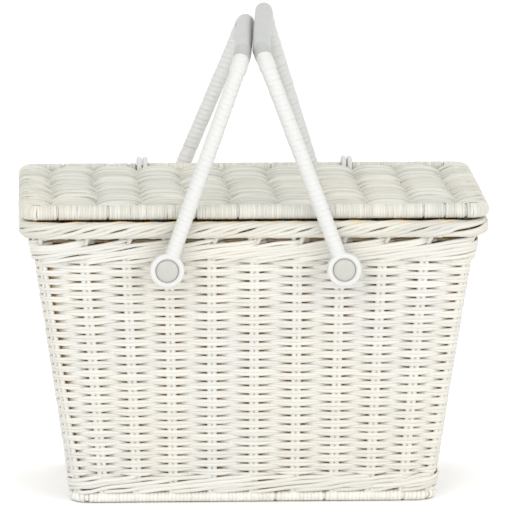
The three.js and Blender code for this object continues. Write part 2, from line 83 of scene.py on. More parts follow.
WALL_THICKNESS = 9 * MM
OUTER_CORNER = 20 * MM
RIM_CORNER = 11 * MM
COLUMN_INSET = (43 * MM, 31 * MM)  # from the outer corner to a side's last column: at the top, at the foot
COLUMN_DIP = 2.6 * MM  # how far into the foot the columns are measured
COLUMNS = (9, 5, 9, 5)  # on the front, right, back and left
ROUND = 32  # columns all the way round, one in each corner included
FRONT_MIDDLE = COLUMNS[0] // 2
BACK_MIDDLE = FRONT_MIDDLE + ROUND // 2
BUTTON_COLUMN = 2  # columns from a side's middle to a button
STAKE_RADIUS = 2.25 * MM
PAIR_HALF = 2.15 * MM
CANE_SIDES = 8
FINE_CANE_SIDES = 6
CORE_SIDES = 14
CORE_PITCH = 4 * MM


# ---------------------------------------------------------------- settings
def length_property(name, description, default):
    return FloatProperty(name=name, description=description, default=default, unit="LENGTH")


def colour_property(name, description, default):
    return FloatVectorProperty(
        name=name, description=description, size=3, subtype="COLOR", default=default)


class BasketSizes(bpy.types.PropertyGroup):
    row_pitch: length_property("Row pitch", "Height of one woven row", 3.95 * MM)
    cane: length_property("Cane", "Half the thickness of a wall cane", 1.0 * MM)
    wale_cane: length_property("Wale cane", "Half the thickness of a wale cane", 1.4 * MM)
    lid_pitch: length_property("Lid pitch", "Depth of one woven row of the lid", 4.3 * MM)
    lid_swell: length_property("Lid swell", "Rise of the lid canes over a rib", 3.4 * MM)
    strip_pitch: length_property("Strip pitch", "Advance of the handle strip in one turn", 4.7 * MM)
    binding_pitch: length_property("Binding pitch", "Width of one turn of the lid binding", 2.3 * MM)
    foot_pitch: length_property("Foot pitch", "Width of one turn of the foot border", 3.3 * MM)
    samples: IntProperty(
        name="Samples", description="Points on a cane from one stake column to the next", default=10, min=4)
    seed: IntProperty(name="Seed", description="Start of the hand-made unevenness", default=7)


class BasketColours(bpy.types.PropertyGroup):
    paint: colour_property("Paint", "White paint on the walls", (0.645, 0.634, 0.59))
    # painted shade: the lid's paint is a darker, greyer copy of the wall paint, for the lid top that gets less
    # light
    lid_paint: colour_property("Lid paint", "Greyed paint on the lid", (0.555, 0.555, 0.50))
    # painted shade: the wall paint made darker on the lid rim and the top border, to tone down the light they
    # catch
    rim_paint: colour_property("Rim paint", "Darkened paint on rim and top border", (0.57, 0.56, 0.51))
    bare: colour_property("Bare cane", "Cane where no paint reached", (0.34, 0.21, 0.085))
    strip: colour_property("Strip", "Wrapping strip", (0.60, 0.60, 0.585))
    grip: colour_property("Grip", "Grip sleeve", (0.37, 0.38, 0.36))
    button: colour_property("Button", "Domed bolt head", (0.45, 0.445, 0.405))
    steel: colour_property("Steel", "Zinc-plated hardware", (0.55, 0.56, 0.57))


def sizes():
    return bpy.context.scene.basket_sizes


def colours():
    return bpy.context.scene.basket_colours


# ---------------------------------------------------------------- small sums
def smooth(low, high, value):
    share = np.clip((value - low) / (high - low), 0, 1)
    return share * share * (3 - 2 * share)


def square(value, power):
    """Bends a sine or cosine so that the round it draws grows shoulders; a power of one leaves it round."""
    return np.sign(value) * np.abs(value) ** power


def circle(sides):
    """Angles spread evenly round a section."""
    return np.linspace(0, TAU, sides, endpoint=False)


def arc(across, out, radius, start, stop, count):
    """Points of an arc about (across, out), from start to stop in degrees."""
    turns = [math.radians(angle) for angle in np.linspace(start, stop, count)]
    return [(across + radius * math.cos(turn), out + radius * math.sin(turn)) for turn in turns]


def at_height(flat, z):
    """Places or directions in plan, all given one height."""
    return np.column_stack([flat, np.full(len(flat), z)])


def unit_rows(rows):
    return rows / np.linalg.norm(rows, axis=1)[:, None]


def axis_rows(axis, count):
    """The direction of X, Y or Z, once for each point."""
    return np.broadcast_to(np.eye(3)[axis], (count, 3))


def level(count):
    """Straight up, once for each point of a line that lies level."""
    return axis_rows(2, count)


def wobble(rng, turns, amount, position):
    """A smooth closed unevenness along a cane."""
    waves = [
        rng.uniform(-1, 1) * np.cos(TAU * (count * position + rng.uniform()))
        for count in rng.integers(1, turns, 4)
    ]
    return amount * sum(waves) / 2


# ---------------------------------------------------------------- node trees written as expressions
class Wire:
    """A value in a node tree: sums and products of wires add Math nodes, and make() adds any other node."""

    def __init__(self, tree, socket=None):
        self.tree = tree
        self.socket = socket

    def make(self, kind, *values, out=0, inputs=None, **settings):
        node = self.tree.nodes.new(kind)
        for key, value in settings.items():
            setattr(node, key, value)
        for key, value in [*enumerate(values), *(inputs or {}).items()]:
            if isinstance(value, Wire):
                self.tree.links.new(value.socket, node.inputs[key])
            elif value is not None:
                node.inputs[key].default_value = value
        return Wire(self.tree, node.outputs[out]) if len(node.outputs) else Wire(self.tree)

    def maths(self, operation, *values):
        return self.make("ShaderNodeMath", *values, operation=operation)

    def __add__(self, other):
        return self.maths("ADD", self, other)

    __radd__ = __add__

    def __sub__(self, other):
        return self.maths("SUBTRACT", self, other)

    def __rsub__(self, other):
        return self.maths("SUBTRACT", other, self)

    def __mul__(self, other):
        return self.maths("MULTIPLY", self, other)

    __rmul__ = __mul__

    def step(self, low, high):
        return self.make("ShaderNodeMapRange", self, low, high, 0.0, 1.0, interpolation_type="SMOOTHSTEP")

    def mix(self, first, second):
        """Between two colours by this wire."""
        return self.make("ShaderNodeMix", out=2, data_type="RGBA", inputs={0: self, 6: first, 7: second})

    def place(self):
        return self.make("ShaderNodeTexCoord", out="Object")

    def noise(self, vector, scale, detail=3.0):
        return self.make(
            "ShaderNodeTexNoise",
            inputs={"Vector": vector, "Scale": scale, "Detail": detail, "Roughness": 0.55})

    def bump(self, strength, distance, height):
        return self.make(
            "ShaderNodeBump", inputs={"Strength": strength, "Distance": distance, "Height": height})

    def attribute(self, name):
        return self.make("ShaderNodeAttribute", out="Fac", attribute_name=name)


def spaced(settings):
    """Socket names as the nodes have them, from keyword names."""
    return {label.replace("_", " "): value for label, value in settings.items()}


def new_finish(name):
    material = bpy.data.materials.new(name)
    material.use_nodes = True
    material.node_tree.nodes.clear()
    return material, Wire(material.node_tree)


def close_finish(wires, **inputs):
    shader = wires.make("ShaderNodeBsdfPrincipled", inputs=spaced(inputs))
    wires.make("ShaderNodeOutputMaterial", shader)


def rgba(colour, scale=1.0):
    return (*[channel * scale for channel in colour], 1.0)


def cane_finish(name, paint_colour, bare_colour, thin_colour, worn=0.0, spread=0.06):
    """Brushed paint on cane: bare where the brush didn't reach, tan where it ran thin, with a grain."""
    material, wires = new_finish(name)
    place = wires.place()
    tone = wires.attribute("tone")
    grain_place = wires.make(
        "ShaderNodeCombineXYZ", wires.attribute("run") * 260.0, wires.attribute("lap") * 5.0, tone * 61.0)
    grain = wires.noise(grain_place, 1.0, 4.0)
    blotch = wires.noise(place, 55.0, 4.0)
    reached = wires.attribute("paint") + (blotch - 0.5) * 0.5 + (grain - 0.5) * 0.35 - worn
    soil = wires.noise(place, 9.0, 2.0).step(0.35, 0.75)
    light = tone.mix(rgba(paint_colour, 1 - spread), rgba(paint_colour, 1 + spread))
    painted = (soil * 0.3).mix(light, rgba(SOILED_PAINT))
    bare = grain.step(0.3, 0.7).mix(rgba(bare_colour, 0.7), rgba(bare_colour, 1.4))
    thin = reached.step(0.05, 0.4).mix(bare, rgba(thin_colour))
    colour = reached.step(0.35, 0.75).mix(thin, painted)
    cover = reached.step(0.1, 0.6)
    roughness = 0.72 - cover * 0.2 + (blotch - 0.5) * 0.25
    bump = wires.bump(0.35, 0.5 * MM, grain + blotch * 0.8)
    close_finish(wires, Base_Color=colour, Roughness=roughness, Normal=bump, Specular_IOR_Level=0.4)
    return material


def strip_finish():
    """Smooth white wrapping strip with a painted shade in its laps and a little cloudy dirt."""
    material, wires = new_finish("white wrapping strip")
    place = wires.place()
    lap = wires.attribute("paint")
    cloud = wires.noise(place, 30.0)
    fine = wires.noise(place, 420.0, 2.0)
    # painted shade where the paint attribute is low (in the laps and the eye's seat), plus cloudy dirt
    dirt_and_shade = (1.0 - lap.step(0.0, 0.35)) * 0.3 + (cloud - 0.5).step(0.05, 0.3) * 0.15
    colour = dirt_and_shade.mix(rgba(colours().strip), rgba(LAP_DIRT_AND_SHADE))
    bump = wires.bump(0.12, 0.3 * MM, fine + cloud)
    close_finish(
        wires, Base_Color=colour, Roughness=0.42 + cloud * 0.16, Normal=bump,
        Coat_Weight=0.06, Coat_Roughness=0.3)
    return material


def moulded_finish(name, colour, roughness, edge_shade_at):
    """Moulded plastic with orange-peel, fine scuffs, cloudy dirt, and a painted shade where its paint attribute
    is low.
    """
    material, wires = new_finish(name)
    place = wires.place()
    cloud = wires.noise(place, 38.0, 4.0)
    peel = wires.noise(place, 700.0, 2.0)
    scuff = wires.noise(place, 160.0, 5.0).step(0.56, 0.72)
    # painted shade where the paint attribute is low, plus cloudy dirt
    dirt_and_shade = (1.0 - wires.attribute("paint").step(0.0, 0.6)) * edge_shade_at + cloud.step(0.55, 0.9) * 0.25
    shade = dirt_and_shade.mix(rgba(colour), rgba(HAND_DIRT_AND_SHADE))
    bump = wires.bump(0.10, 0.2 * MM, peel + scuff * 0.6)
    close_finish(
        wires, Base_Color=shade, Roughness=roughness + scuff * 0.18 + cloud * 0.08, Normal=bump,
        Coat_Weight=0.2, Coat_Roughness=0.25)
    return material


def steel_finish():
    """Zinc plate with faint spangle and stains."""
    material, wires = new_finish("zinc plated steel")
    place = wires.place()
    spangle = wires.noise(place, 260.0, 2.0)
    stain = wires.noise(place, 60.0, 5.0).step(0.5, 0.8)
    colour = (stain * 0.6).mix(rgba(colours().steel), rgba(RUST_STAIN))
    bump = wires.bump(0.2, 0.2 * MM, spangle)
    close_finish(
        wires, Base_Color=colour, Metallic=1.0 - stain * 0.5, Roughness=0.32 + spangle * 0.2, Normal=bump)
    return material


SOILED_PAINT = (0.69, 0.63, 0.50)
THIN_PAINT = (0.70, 0.56, 0.36)
LAP_DIRT_AND_SHADE = (0.42, 0.38, 0.30)
HAND_DIRT_AND_SHADE = (0.36, 0.33, 0.26)
RUST_STAIN = (0.30, 0.27, 0.22)
# painted shade: greyed bare cane and thin paint for the lid, darker because the lid top gets less light
SHADED_LID_BARE_CANE = (0.28, 0.26, 0.21)
SHADED_LID_THIN_PAINT = (0.47, 0.45, 0.37)
FOOT_PAINTED_LIGHT = 1.14  # painted light: the foot's paint is made lighter than the walls', to offset the shade on its rounded binding that faces partly down
FINISHES = {
    "painted_cane": lambda: cane_finish("painted cane", colours().paint, colours().bare, THIN_PAINT),
    # painted shade: the lid's finish is the cane finish in the greyed, darker lid colours
    "lid_cane": lambda: cane_finish("shaded lid cane", colours().lid_paint, SHADED_LID_BARE_CANE, SHADED_LID_THIN_PAINT, spread=0.16),
    # painted light: the foot's finish is the wall paint made lighter
    "lit_foot_cane": lambda: cane_finish(
        "lit foot cane", [FOOT_PAINTED_LIGHT * channel for channel in colours().paint], colours().bare, THIN_PAINT),
    # painted shade: the rim and border finish is the cane finish in the darker rim paint
    "shaded_rim_cane": lambda: cane_finish("shaded rim cane", colours().rim_paint, colours().bare, THIN_PAINT, spread=0.10),
    "bare_cane": lambda: cane_finish("bare cane", colours().paint, colours().bare, THIN_PAINT, worn=0.75),
    "strip_wrap": strip_finish,
    "grip_plastic": lambda: moulded_finish("grip sleeve", colours().grip, 0.30, 0.5),
    "button_plastic": lambda: moulded_finish("button dome", colours().button, 0.34, 0.3),
    "zinc_steel": steel_finish,
}
made_finishes = {}


def finish(key):
    if key not in made_finishes:
        made_finishes[key] = FINISHES[key]()
    return made_finishes[key]


# ---------------------------------------------------------------- meshes
class Bundle:
    """Closed rings of points gathered into one mesh, with what the finishes read on each point."""

    VALUES = ("tone", "paint", "run", "lap")

    def __init__(self):
        self.points = []
        self.faces = []
        self.values = {name: [] for name in self.VALUES}
        self.count = 0

    def add(self, rings, closed=False, flip=False, tone=0.5, paint=1.0, run=None):
        """rings is (stations, points round the section, 3); open ends are closed with a flat face."""
        stations, sides = rings.shape[:2]
        index = self.count + np.arange(stations * sides).reshape(stations, sides)
        here = index if closed else index[:-1]
        there = np.roll(index, -1, 0) if closed else index[1:]
        quads = np.stack([here, np.roll(here, -1, 1), np.roll(there, -1, 1), there], -1).reshape(-1, 4)
        self.faces.append(quads[:, ::-1] if flip else quads)
        if not closed:
            ends = np.stack([index[0, ::-1], index[-1]])
            self.faces.append(ends[:, ::-1] if flip else ends)
        if run is None:
            steps = np.linalg.norm(np.diff(rings.mean(1), axis=0), axis=1)
            run = np.concatenate([[0], np.cumsum(steps)])
        lap = np.abs(np.linspace(0, 2, sides, endpoint=False) - 1)
        grids = {"tone": tone, "paint": paint, "run": np.reshape(run, (-1, 1)), "lap": lap[None, :]}
        for name, grid in grids.items():
            self.values[name].append(np.broadcast_to(grid, (stations, sides)).ravel())
        self.points.append(rings.reshape(-1, 3))
        self.count += stations * sides

    def sweep(self, line, across, up, half_across, half_up, sides, closed, tone, paint, flat=1.0):
        """A cane along a line of points; its section is an ellipse, or squarer where flat is under one."""
        angle = circle(sides)
        wide = np.reshape(np.broadcast_to(half_across, len(line)), (-1, 1, 1))
        tall = np.reshape(np.broadcast_to(half_up, len(line)), (-1, 1, 1))
        offset = wide * square(np.cos(angle), flat)[None, :, None] * across[:, None, :]
        offset = offset + tall * square(np.sin(angle), flat)[None, :, None] * up[:, None, :]
        travel = np.roll(line, -1, 0)[:-1] - line[:-1]
        turning = np.einsum("ij,ij->i", np.cross(across[:-1], up[:-1]), travel).mean()
        self.add(line[:, None, :] + offset, closed, turning < 0, tone, paint)

    def to_object(self, name, key):
        mesh = bpy.data.meshes.new(name)
        points = np.concatenate(self.points)
        mesh.vertices.add(len(points))
        mesh.vertices.foreach_set("co", points.ravel().astype(np.float32))
        loops = np.concatenate([block.ravel() for block in self.faces]).astype(np.int32)
        totals = np.concatenate([np.full(len(block), block.shape[1]) for block in self.faces])
        starts = np.concatenate([[0], np.cumsum(totals)[:-1]]).astype(np.int32)
        mesh.loops.add(len(loops))
        mesh.loops.foreach_set("vertex_index", loops)
        mesh.polygons.add(len(totals))
        mesh.polygons.foreach_set("loop_start", starts)
        mesh.update(calc_edges=True)
        mesh.validate()
        mesh.polygons.foreach_set("use_smooth", np.ones(len(mesh.polygons), bool))
        for value_name, blocks in self.values.items():
            layer = mesh.attributes.new(value_name, "FLOAT", "POINT")
            layer.data.foreach_set("value", np.concatenate(blocks).astype(np.float32))
        return link(name, mesh, key)

    def settle(self, name, key, body, *replaced):
        """The whole bundle becomes one finished piece."""
        settle(self.to_object(name, key), key, body, *replaced)


def link(name, mesh, key):
    thing = bpy.data.objects.new(name, mesh)
    mesh.materials.clear()
    mesh.materials.append(finish(key))
    bpy.context.scene.collection.objects.link(thing)
    return thing


def settle(piece, key, body, *replaced):
    """A finished piece rides on its body and stands for CAD nodes."""
    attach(piece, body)
    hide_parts(*replaced)


def turned_rings(profile, centre, out_sign, sides=56):
    """Rings of a piece turned about a line along Y through centre, from points (radius, distance out)."""
    angle = circle(sides)
    rings = [
        np.stack([
            centre[0] + radius * np.cos(angle),
            np.full(sides, out_sign * distance),
            centre[1] + radius * np.sin(angle),
        ], -1)
        for radius, distance in profile
    ]
    return np.array(rings)


# ---------------------------------------------------------------- round the walls
def quarter_turn(points, times):
    for _ in range(times % 4):
        points = np.stack([-points[..., 1], points[..., 0]], -1)
    return points


def outline_place(length, half_x, half_y, radius, depth):
    """Points and outward directions at lengths round a rounded rectangle, moved outwards by depth."""
    place = np.zeros((len(length), 2))
    facing = np.zeros((len(length), 2))
    quarter = radius * TAU / 4
    start = np.zeros(len(length))
    left = np.mod(length, 4 * (half_x + half_y - 2 * radius) + 4 * quarter)
    for side in range(4):
        along, out = (half_x, half_y) if side % 2 == 0 else (half_y, half_x)
        straight = 2 * (along - radius)
        here = left - start
        flat = np.stack([here - (along - radius), -(out + depth)], -1)
        angle = (here - straight) / radius
        arc = np.stack([
            along - radius + (radius + depth) * np.sin(angle),
            -(out - radius) - (radius + depth) * np.cos(angle),
        ], -1)
        turn = np.stack([np.sin(angle), -np.cos(angle)], -1)
        on_flat = (here >= 0) & (here < straight)
        on_arc = (here >= straight) & (here < straight + quarter)
        place = np.where(on_flat[:, None], quarter_turn(flat, side), place)
        place = np.where(on_arc[:, None], quarter_turn(arc, side), place)
        ahead = np.broadcast_to(np.array([0.0, -1.0]), flat.shape)
        facing = np.where(on_flat[:, None], quarter_turn(ahead, side), facing)
        facing = np.where(on_arc[:, None], quarter_turn(turn, side), facing)
        start = start + straight + quarter
    return place, facing


def outline_points(half_x, half_y, radius, z, pitch):
    """Points and outward directions at an even pitch round a rounded rectangle that lies level."""
    total = 4 * (half_x + half_y - 2 * radius) + TAU * radius
    length = np.linspace(0, total, int(total / pitch), endpoint=False)
    place, facing = outline_place(length, half_x, half_y, radius, np.zeros(len(length)))
    return at_height(place, z), at_height(facing, 0.0)


def mid_wall(z):
    """Half width, half depth and corner radius of the middle of the wall at heights z."""
    half_x = FOOT_HIGH.x + FLARE[0] * (z - FOOT_HIGH.z) - WALL_THICKNESS / 2
    half_y = FOOT_HIGH.y + FLARE[1] * (z - FOOT_HIGH.z) - WALL_THICKNESS / 2
    return half_x, half_y, OUTER_CORNER - WALL_THICKNESS / 2


def column_reach(side):
    """How far a side's last column stands from the side's middle, at the top and at the foot."""
    top = (WALL_HIGH.x, -WALL_LOW.y)[side % 2] - COLUMN_INSET[0]
    foot = (FOOT_HIGH.x, FOOT_HIGH.y)[side % 2] - COLUMN_INSET[1]
    return top, foot


def column_lengths(z):
    """Length round the mid-wall outline to each column at heights z; the first comes again at the end."""
    half_x, half_y, radius = mid_wall(z)
    foot_z = FOOT_HIGH.z - COLUMN_DIP
    share = (z - foot_z) / (STAKE_TIPS.z - foot_z)
    quarter = radius * TAU / 4
    lengths = []
    start = np.zeros(len(z))
    for side, count in enumerate(COLUMNS):
        along = half_x if side % 2 == 0 else half_y
        top_reach, foot_reach = column_reach(side)
        last = (count - 1) / 2
        for place in (np.arange(count) - last) / last:
            top = top_reach * place
            foot = top - np.sign(place) * (top_reach - foot_reach) * place ** 2
            lengths.append(start + along - radius + foot + (top - foot) * share)
        start = start + 2 * (along - radius) + quarter
        lengths.append(start - quarter / 2)
    lengths.append(lengths[0] + start)
    return np.array(lengths)


def on_wall(column, z, depth):
    """Points on the wall: column counts stakes round it, depth is outwards from the middle of the wall."""
    z = np.broadcast_to(z, len(column)).astype(float)
    wrapped = np.mod(column, ROUND)
    low = np.floor(wrapped).astype(int)
    share = wrapped - low
    lengths = column_lengths(z)
    each = np.arange(len(column))
    length = lengths[low, each] * (1 - share) + lengths[low + 1, each] * share
    half_x, half_y, radius = mid_wall(z)
    place, facing = outline_place(length, half_x, half_y, radius, np.broadcast_to(depth, len(column)))
    return np.column_stack([place, z]), at_height(facing, 0.0)


def all_round():
    """Places along a cane that runs once round the basket, counted in columns."""
    return np.linspace(0, ROUND, ROUND * sizes().samples, endpoint=False)


def paint_cover(depth, half):
    """Paint reaches what faces out, thins where a cane dives into the wall, and is only a mist inside."""
    facing = np.cos(circle(CANE_SIDES))[None, :]
    off = depth[:, None] + half * facing
    return 0.12 + 0.88 * smooth(-1.2 * MM, -0.1 * MM, off) * smooth(-0.9, -0.1, facing)


# ---------------------------------------------------------------- Geometry Nodes for what repeats
def new_tree(name, inputs):
    tree = bpy.data.node_groups.new(name, "GeometryNodeTree")
    tree.interface.new_socket("Geometry", in_out="INPUT", socket_type="NodeSocketGeometry")
    for label, kind, default in inputs:
        socket = tree.interface.new_socket(label, in_out="INPUT", socket_type=kind)
        if default is not None:
            socket.default_value = default
    tree.interface.new_socket("Geometry", in_out="OUTPUT", socket_type="NodeSocketGeometry")
    source = tree.nodes.new("NodeGroupInput")
    return tree, Wire(tree), {socket.name: Wire(tree, socket) for socket in source.outputs if socket.name}


def close_tree(wires, geometry, material):
    real = wires.make("GeometryNodeRealizeInstances", geometry)
    painted = wires.make("GeometryNodeSetMaterial", inputs={"Geometry": real, "Material": material})
    wires.make("NodeGroupOutput", painted)


def store(wires, geometry, name, value, domain="POINT"):
    return wires.make(
        "GeometryNodeStoreNamedAttribute", data_type="FLOAT", domain=domain,
        inputs={"Geometry": geometry, "Name": name, "Value": value})


def ring(wires, resolution, radius):
    """A round outline of its own."""
    return wires.make(
        "GeometryNodeCurvePrimitiveCircle", mode="RADIUS", inputs={"Resolution": resolution, "Radius": radius})


def tube(wires, line, section, capped=False):
    """The section drawn along the line and shaded smooth."""
    walls = wires.make(
        "GeometryNodeCurveToMesh", inputs={"Curve": line, "Profile Curve": section, "Fill Caps": capped})
    return wires.make("GeometryNodeSetShadeSmooth", walls)


def rods_tree():
    """Round rods along every line of a mesh of edges."""
    tree, wires, given = new_tree("round rods", [
        ("Radius", "NodeSocketFloat", STAKE_RADIUS),
        ("Sides", "NodeSocketInt", 10),
        ("Material", "NodeSocketMaterial", None),
    ])
    lines = wires.make("GeometryNodeMeshToCurve", given["Geometry"])
    along = wires.make("GeometryNodeSplineParameter", out="Length")
    lines = store(wires, lines, "run", along)
    rods = tube(wires, lines, ring(wires, given["Sides"], given["Radius"]), True)
    close_tree(wires, rods, given["Material"])
    return tree


def turns_tree():
    """Flat turns of binding set square across a path; each point holds its own turning and size."""
    tree, wires, given = new_tree("turns of binding", [
        ("Half width", "NodeSocketFloat", 1.2 * MM),
        ("Half thickness", "NodeSocketFloat", 0.6 * MM),
        ("Lean", "NodeSocketFloat", 0.06),
        ("Seed", "NodeSocketInt", 3),
        ("Material", "NodeSocketMaterial", None),
    ])
    flat = wires.make("ShaderNodeCombineXYZ", given["Half thickness"], given["Half width"], 1.0)
    section = wires.make("GeometryNodeTransform", inputs={"Geometry": ring(wires, 6, 1.0), "Scale": flat})
    turn = tube(wires, ring(wires, 20, 1.0), section)
    facing, size = [
        wires.make("GeometryNodeInputNamedAttribute", data_type="FLOAT_VECTOR", inputs={"Name": name})
        for name in ("turning", "size")
    ]
    turns = wires.make(
        "GeometryNodeInstanceOnPoints",
        inputs={"Points": given["Geometry"], "Instance": turn, "Rotation": facing})
    lean = wires.make(
        "FunctionNodeRandomValue", data_type="FLOAT_VECTOR",
        inputs={"Min": (-1.0, -1.0, 0.0), "Max": (1.0, 1.0, 0.0), "Seed": given["Seed"]})
    lean = wires.make("ShaderNodeVectorMath", operation="SCALE", inputs={0: lean, "Scale": given["Lean"]})
    turns = wires.make("GeometryNodeRotateInstances", inputs={"Instances": turns, "Rotation": lean})
    turns = wires.make("GeometryNodeScaleInstances", inputs={"Instances": turns, "Scale": size})
    tone = wires.make("FunctionNodeRandomValue", data_type="FLOAT", out=1, inputs={"Seed": given["Seed"]})
    turns = store(wires, turns, "tone", tone, "INSTANCE")
    close_tree(wires, turns, given["Material"])
    return tree


trees = {}


def grow(name, source, builder, key, **settings):
    """Runs a tree on a mesh and gives back the plain mesh it makes."""
    if builder not in trees:
        trees[builder] = builder()
    tree = trees[builder]
    holder = bpy.data.objects.new(name + " source", source)
    bpy.context.scene.collection.objects.link(holder)
    modifier = holder.modifiers.new(name, "NODES")
    modifier.node_group = tree
    wanted = {"Material": finish(key), **spaced(settings)}
    for item in tree.interface.items_tree:
        if item.item_type == "SOCKET" and item.in_out == "INPUT" and item.name in wanted:
            modifier[item.identifier] = wanted[item.name]
    holder.update_tag()
    graph = bpy.context.evaluated_depsgraph_get()
    mesh = bpy.data.meshes.new_from_object(
        holder.evaluated_get(graph), preserve_all_data_layers=True, depsgraph=graph)
    mesh.name = name
    bpy.data.objects.remove(holder)
    return mesh


def with_values(mesh, tone, paint):
    """Gives a grown mesh the values that the finishes read, where its tree didn't."""
    count = len(mesh.vertices)
    for name in Bundle.VALUES:
        if name not in mesh.attributes:
            mesh.attributes.new(name, "FLOAT", "POINT")
    mesh.attributes["paint"].data.foreach_set("value", np.full(count, paint, np.float32))
    if tone is not None:
        mesh.attributes["tone"].data.foreach_set("value", np.full(count, tone, np.float32))
    return mesh


def settle_grown(name, source, builder, key, body, *replaced, tone=None, paint=1.0, **settings):
    """What a tree grows on a source mesh becomes one finished piece."""
    mesh = grow(name, source, builder, key, **settings)
    settle(link(name, with_values(mesh, tone, paint), key), key, body, *replaced)


def edge_lines(name, lines):
    """A mesh of edges, one run of them for each line of points."""
    mesh = bpy.data.meshes.new(name)
    edges = []
    start = 0
    for line in lines:
        edges += [(start + i, start + i + 1) for i in range(len(line) - 1)]
        start += len(line)
    mesh.from_pydata(np.concatenate(lines).tolist(), edges, [])
    return mesh


def turn_points(name, places, across, size_across, size_up, size_along=1.0):
    """Points for turns of binding: each turn stands upright along its across direction."""
    mesh = bpy.data.meshes.new(name)
    mesh.from_pydata([list(place) for place in places], [], [])
    angles = []
    for a, u in zip(across, level(len(places))):
        a, u = Vector(a), Vector(u)
        angles.append(list(Matrix((a, u, a.cross(u))).transposed().to_euler()))
    scales = [np.broadcast_to(size, len(places)) for size in (size_across, size_up, size_along)]
    for label, rows in (("turning", angles), ("size", np.column_stack(scales))):
        layer = mesh.attributes.new(label, "FLOAT_VECTOR", "POINT")
        layer.data.foreach_set("vector", np.ravel(rows).astype(np.float32))
    return mesh


# ---------------------------------------------------------------- operators
class BASKET_OT_camera(bpy.types.Operator):
    """Set the camera in front of the basket, a little above it"""

    bl_idname = "basket.camera"
    bl_label = "Camera"
    elevation = math.radians(9.44)
    yaw = math.radians(2.24)
    distance = 5.0
    target = Vector((0.00496, 0, 0.20518))
    sensor_width = 36
    focal_length = 396.5
    sight = 50

    def execute(self, context):
        ahead = Vector((
            math.sin(self.yaw) * math.cos(self.elevation),
            math.cos(self.yaw) * math.cos(self.elevation),
            -math.sin(self.elevation),
        ))
        data = bpy.data.cameras.new("camera")
        data.sensor_width = self.sensor_width
        data.lens = self.focal_length
        data.clip_end = self.sight
        camera = bpy.data.objects.new("camera", data)
        camera.location = self.target - ahead * self.distance
        camera.rotation_euler = ahead.to_track_quat("-Z", "Y").to_euler()
        context.scene.collection.objects.link(camera)
        context.scene.camera = camera
        return {"FINISHED"}


class BASKET_OT_stakes(bpy.types.Operator):
    """Stand the doubled stakes and the corner posts in the walls"""

    bl_idname = "basket.stakes"
    bl_label = "Stakes"
    into_foot, into_border = 4 * MM, 7 * MM
    opening = 3.4 * MM  # how far each stake moves aside in the hole row and beside a pivot
    pivot_near, pivot_far = 6 * MM, 24 * MM  # fully open within the first, closed again past the second
    bow, bow_at_top = 0.9 * MM, 2.2 * MM  # outwards from the middle of the wall, and what the hole row adds
    stations = 50
    post_radius = 5 * MM

    def execute(self, context):
        self.pairs()
        self.posts()
        return {"FINISHED"}

    def pairs(self):
        z = np.linspace(FOOT_HIGH.z - self.into_foot, BORDER_LOW.z + self.into_border, self.stations)
        pivot_z = JOINTS["left_handle_swing"]["pos_m"][2]
        button_columns = {
            middle + hand * BUTTON_COLUMN for middle in (FRONT_MIDDLE, BACK_MIDDLE) for hand in HANDS}
        in_hole_row = smooth(UPPER_WALE[1].z - 2 * MM, BORDER_LOW.z + 4 * MM, z)
        by_pivot = smooth(self.pivot_far, self.pivot_near, np.abs(z - pivot_z))
        bow = self.bow + self.bow_at_top * smooth(UPPER_WALE[1].z - 4 * MM, BORDER_LOW.z + 2 * MM, z)
        lines = []
        for column in range(ROUND):
            splay = self.opening * in_hole_row
            if column in button_columns:
                splay = splay + self.opening * by_pivot
            centre, facing = on_wall(np.full(len(z), float(column)), z, bow)
            sideways = np.column_stack([-facing[:, 1], facing[:, 0], np.zeros(len(z))])
            lines += [centre + sideways * (hand * (PAIR_HALF + splay))[:, None] for hand in HANDS]
        settle_grown(
            "wall_stakes", edge_lines("stake lines", lines), rods_tree, "painted_cane", "basket",
            "front_stakes", "right_stakes", "back_stakes", "left_stakes",
            tone=0.6, Radius=STAKE_RADIUS, Sides=10)

    def posts(self):
        names = [f"{depth}_{side}_corner_post" for depth in ("front", "back") for side in SIDES]
        lines = []
        for name in names:
            low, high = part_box(name)
            x = (low.x, high.x) if "right" in name else (high.x, low.x)
            y = (low.y, high.y) if "back" in name else (high.y, low.y)
            in_x, in_y = math.copysign(self.post_radius, x[0]), math.copysign(self.post_radius, y[0])
            lines.append(np.array([
                [x[0] + in_x, y[0] + in_y, low.z + 1 * MM],
                [x[1] - in_x, y[1] - in_y, high.z - 1 * MM],
            ]))
        settle_grown(
            "corner_posts", edge_lines("post lines", lines), rods_tree, "painted_cane", "basket", *names,
            tone=0.5, paint=0.9, Radius=self.post_radius, Sides=20)


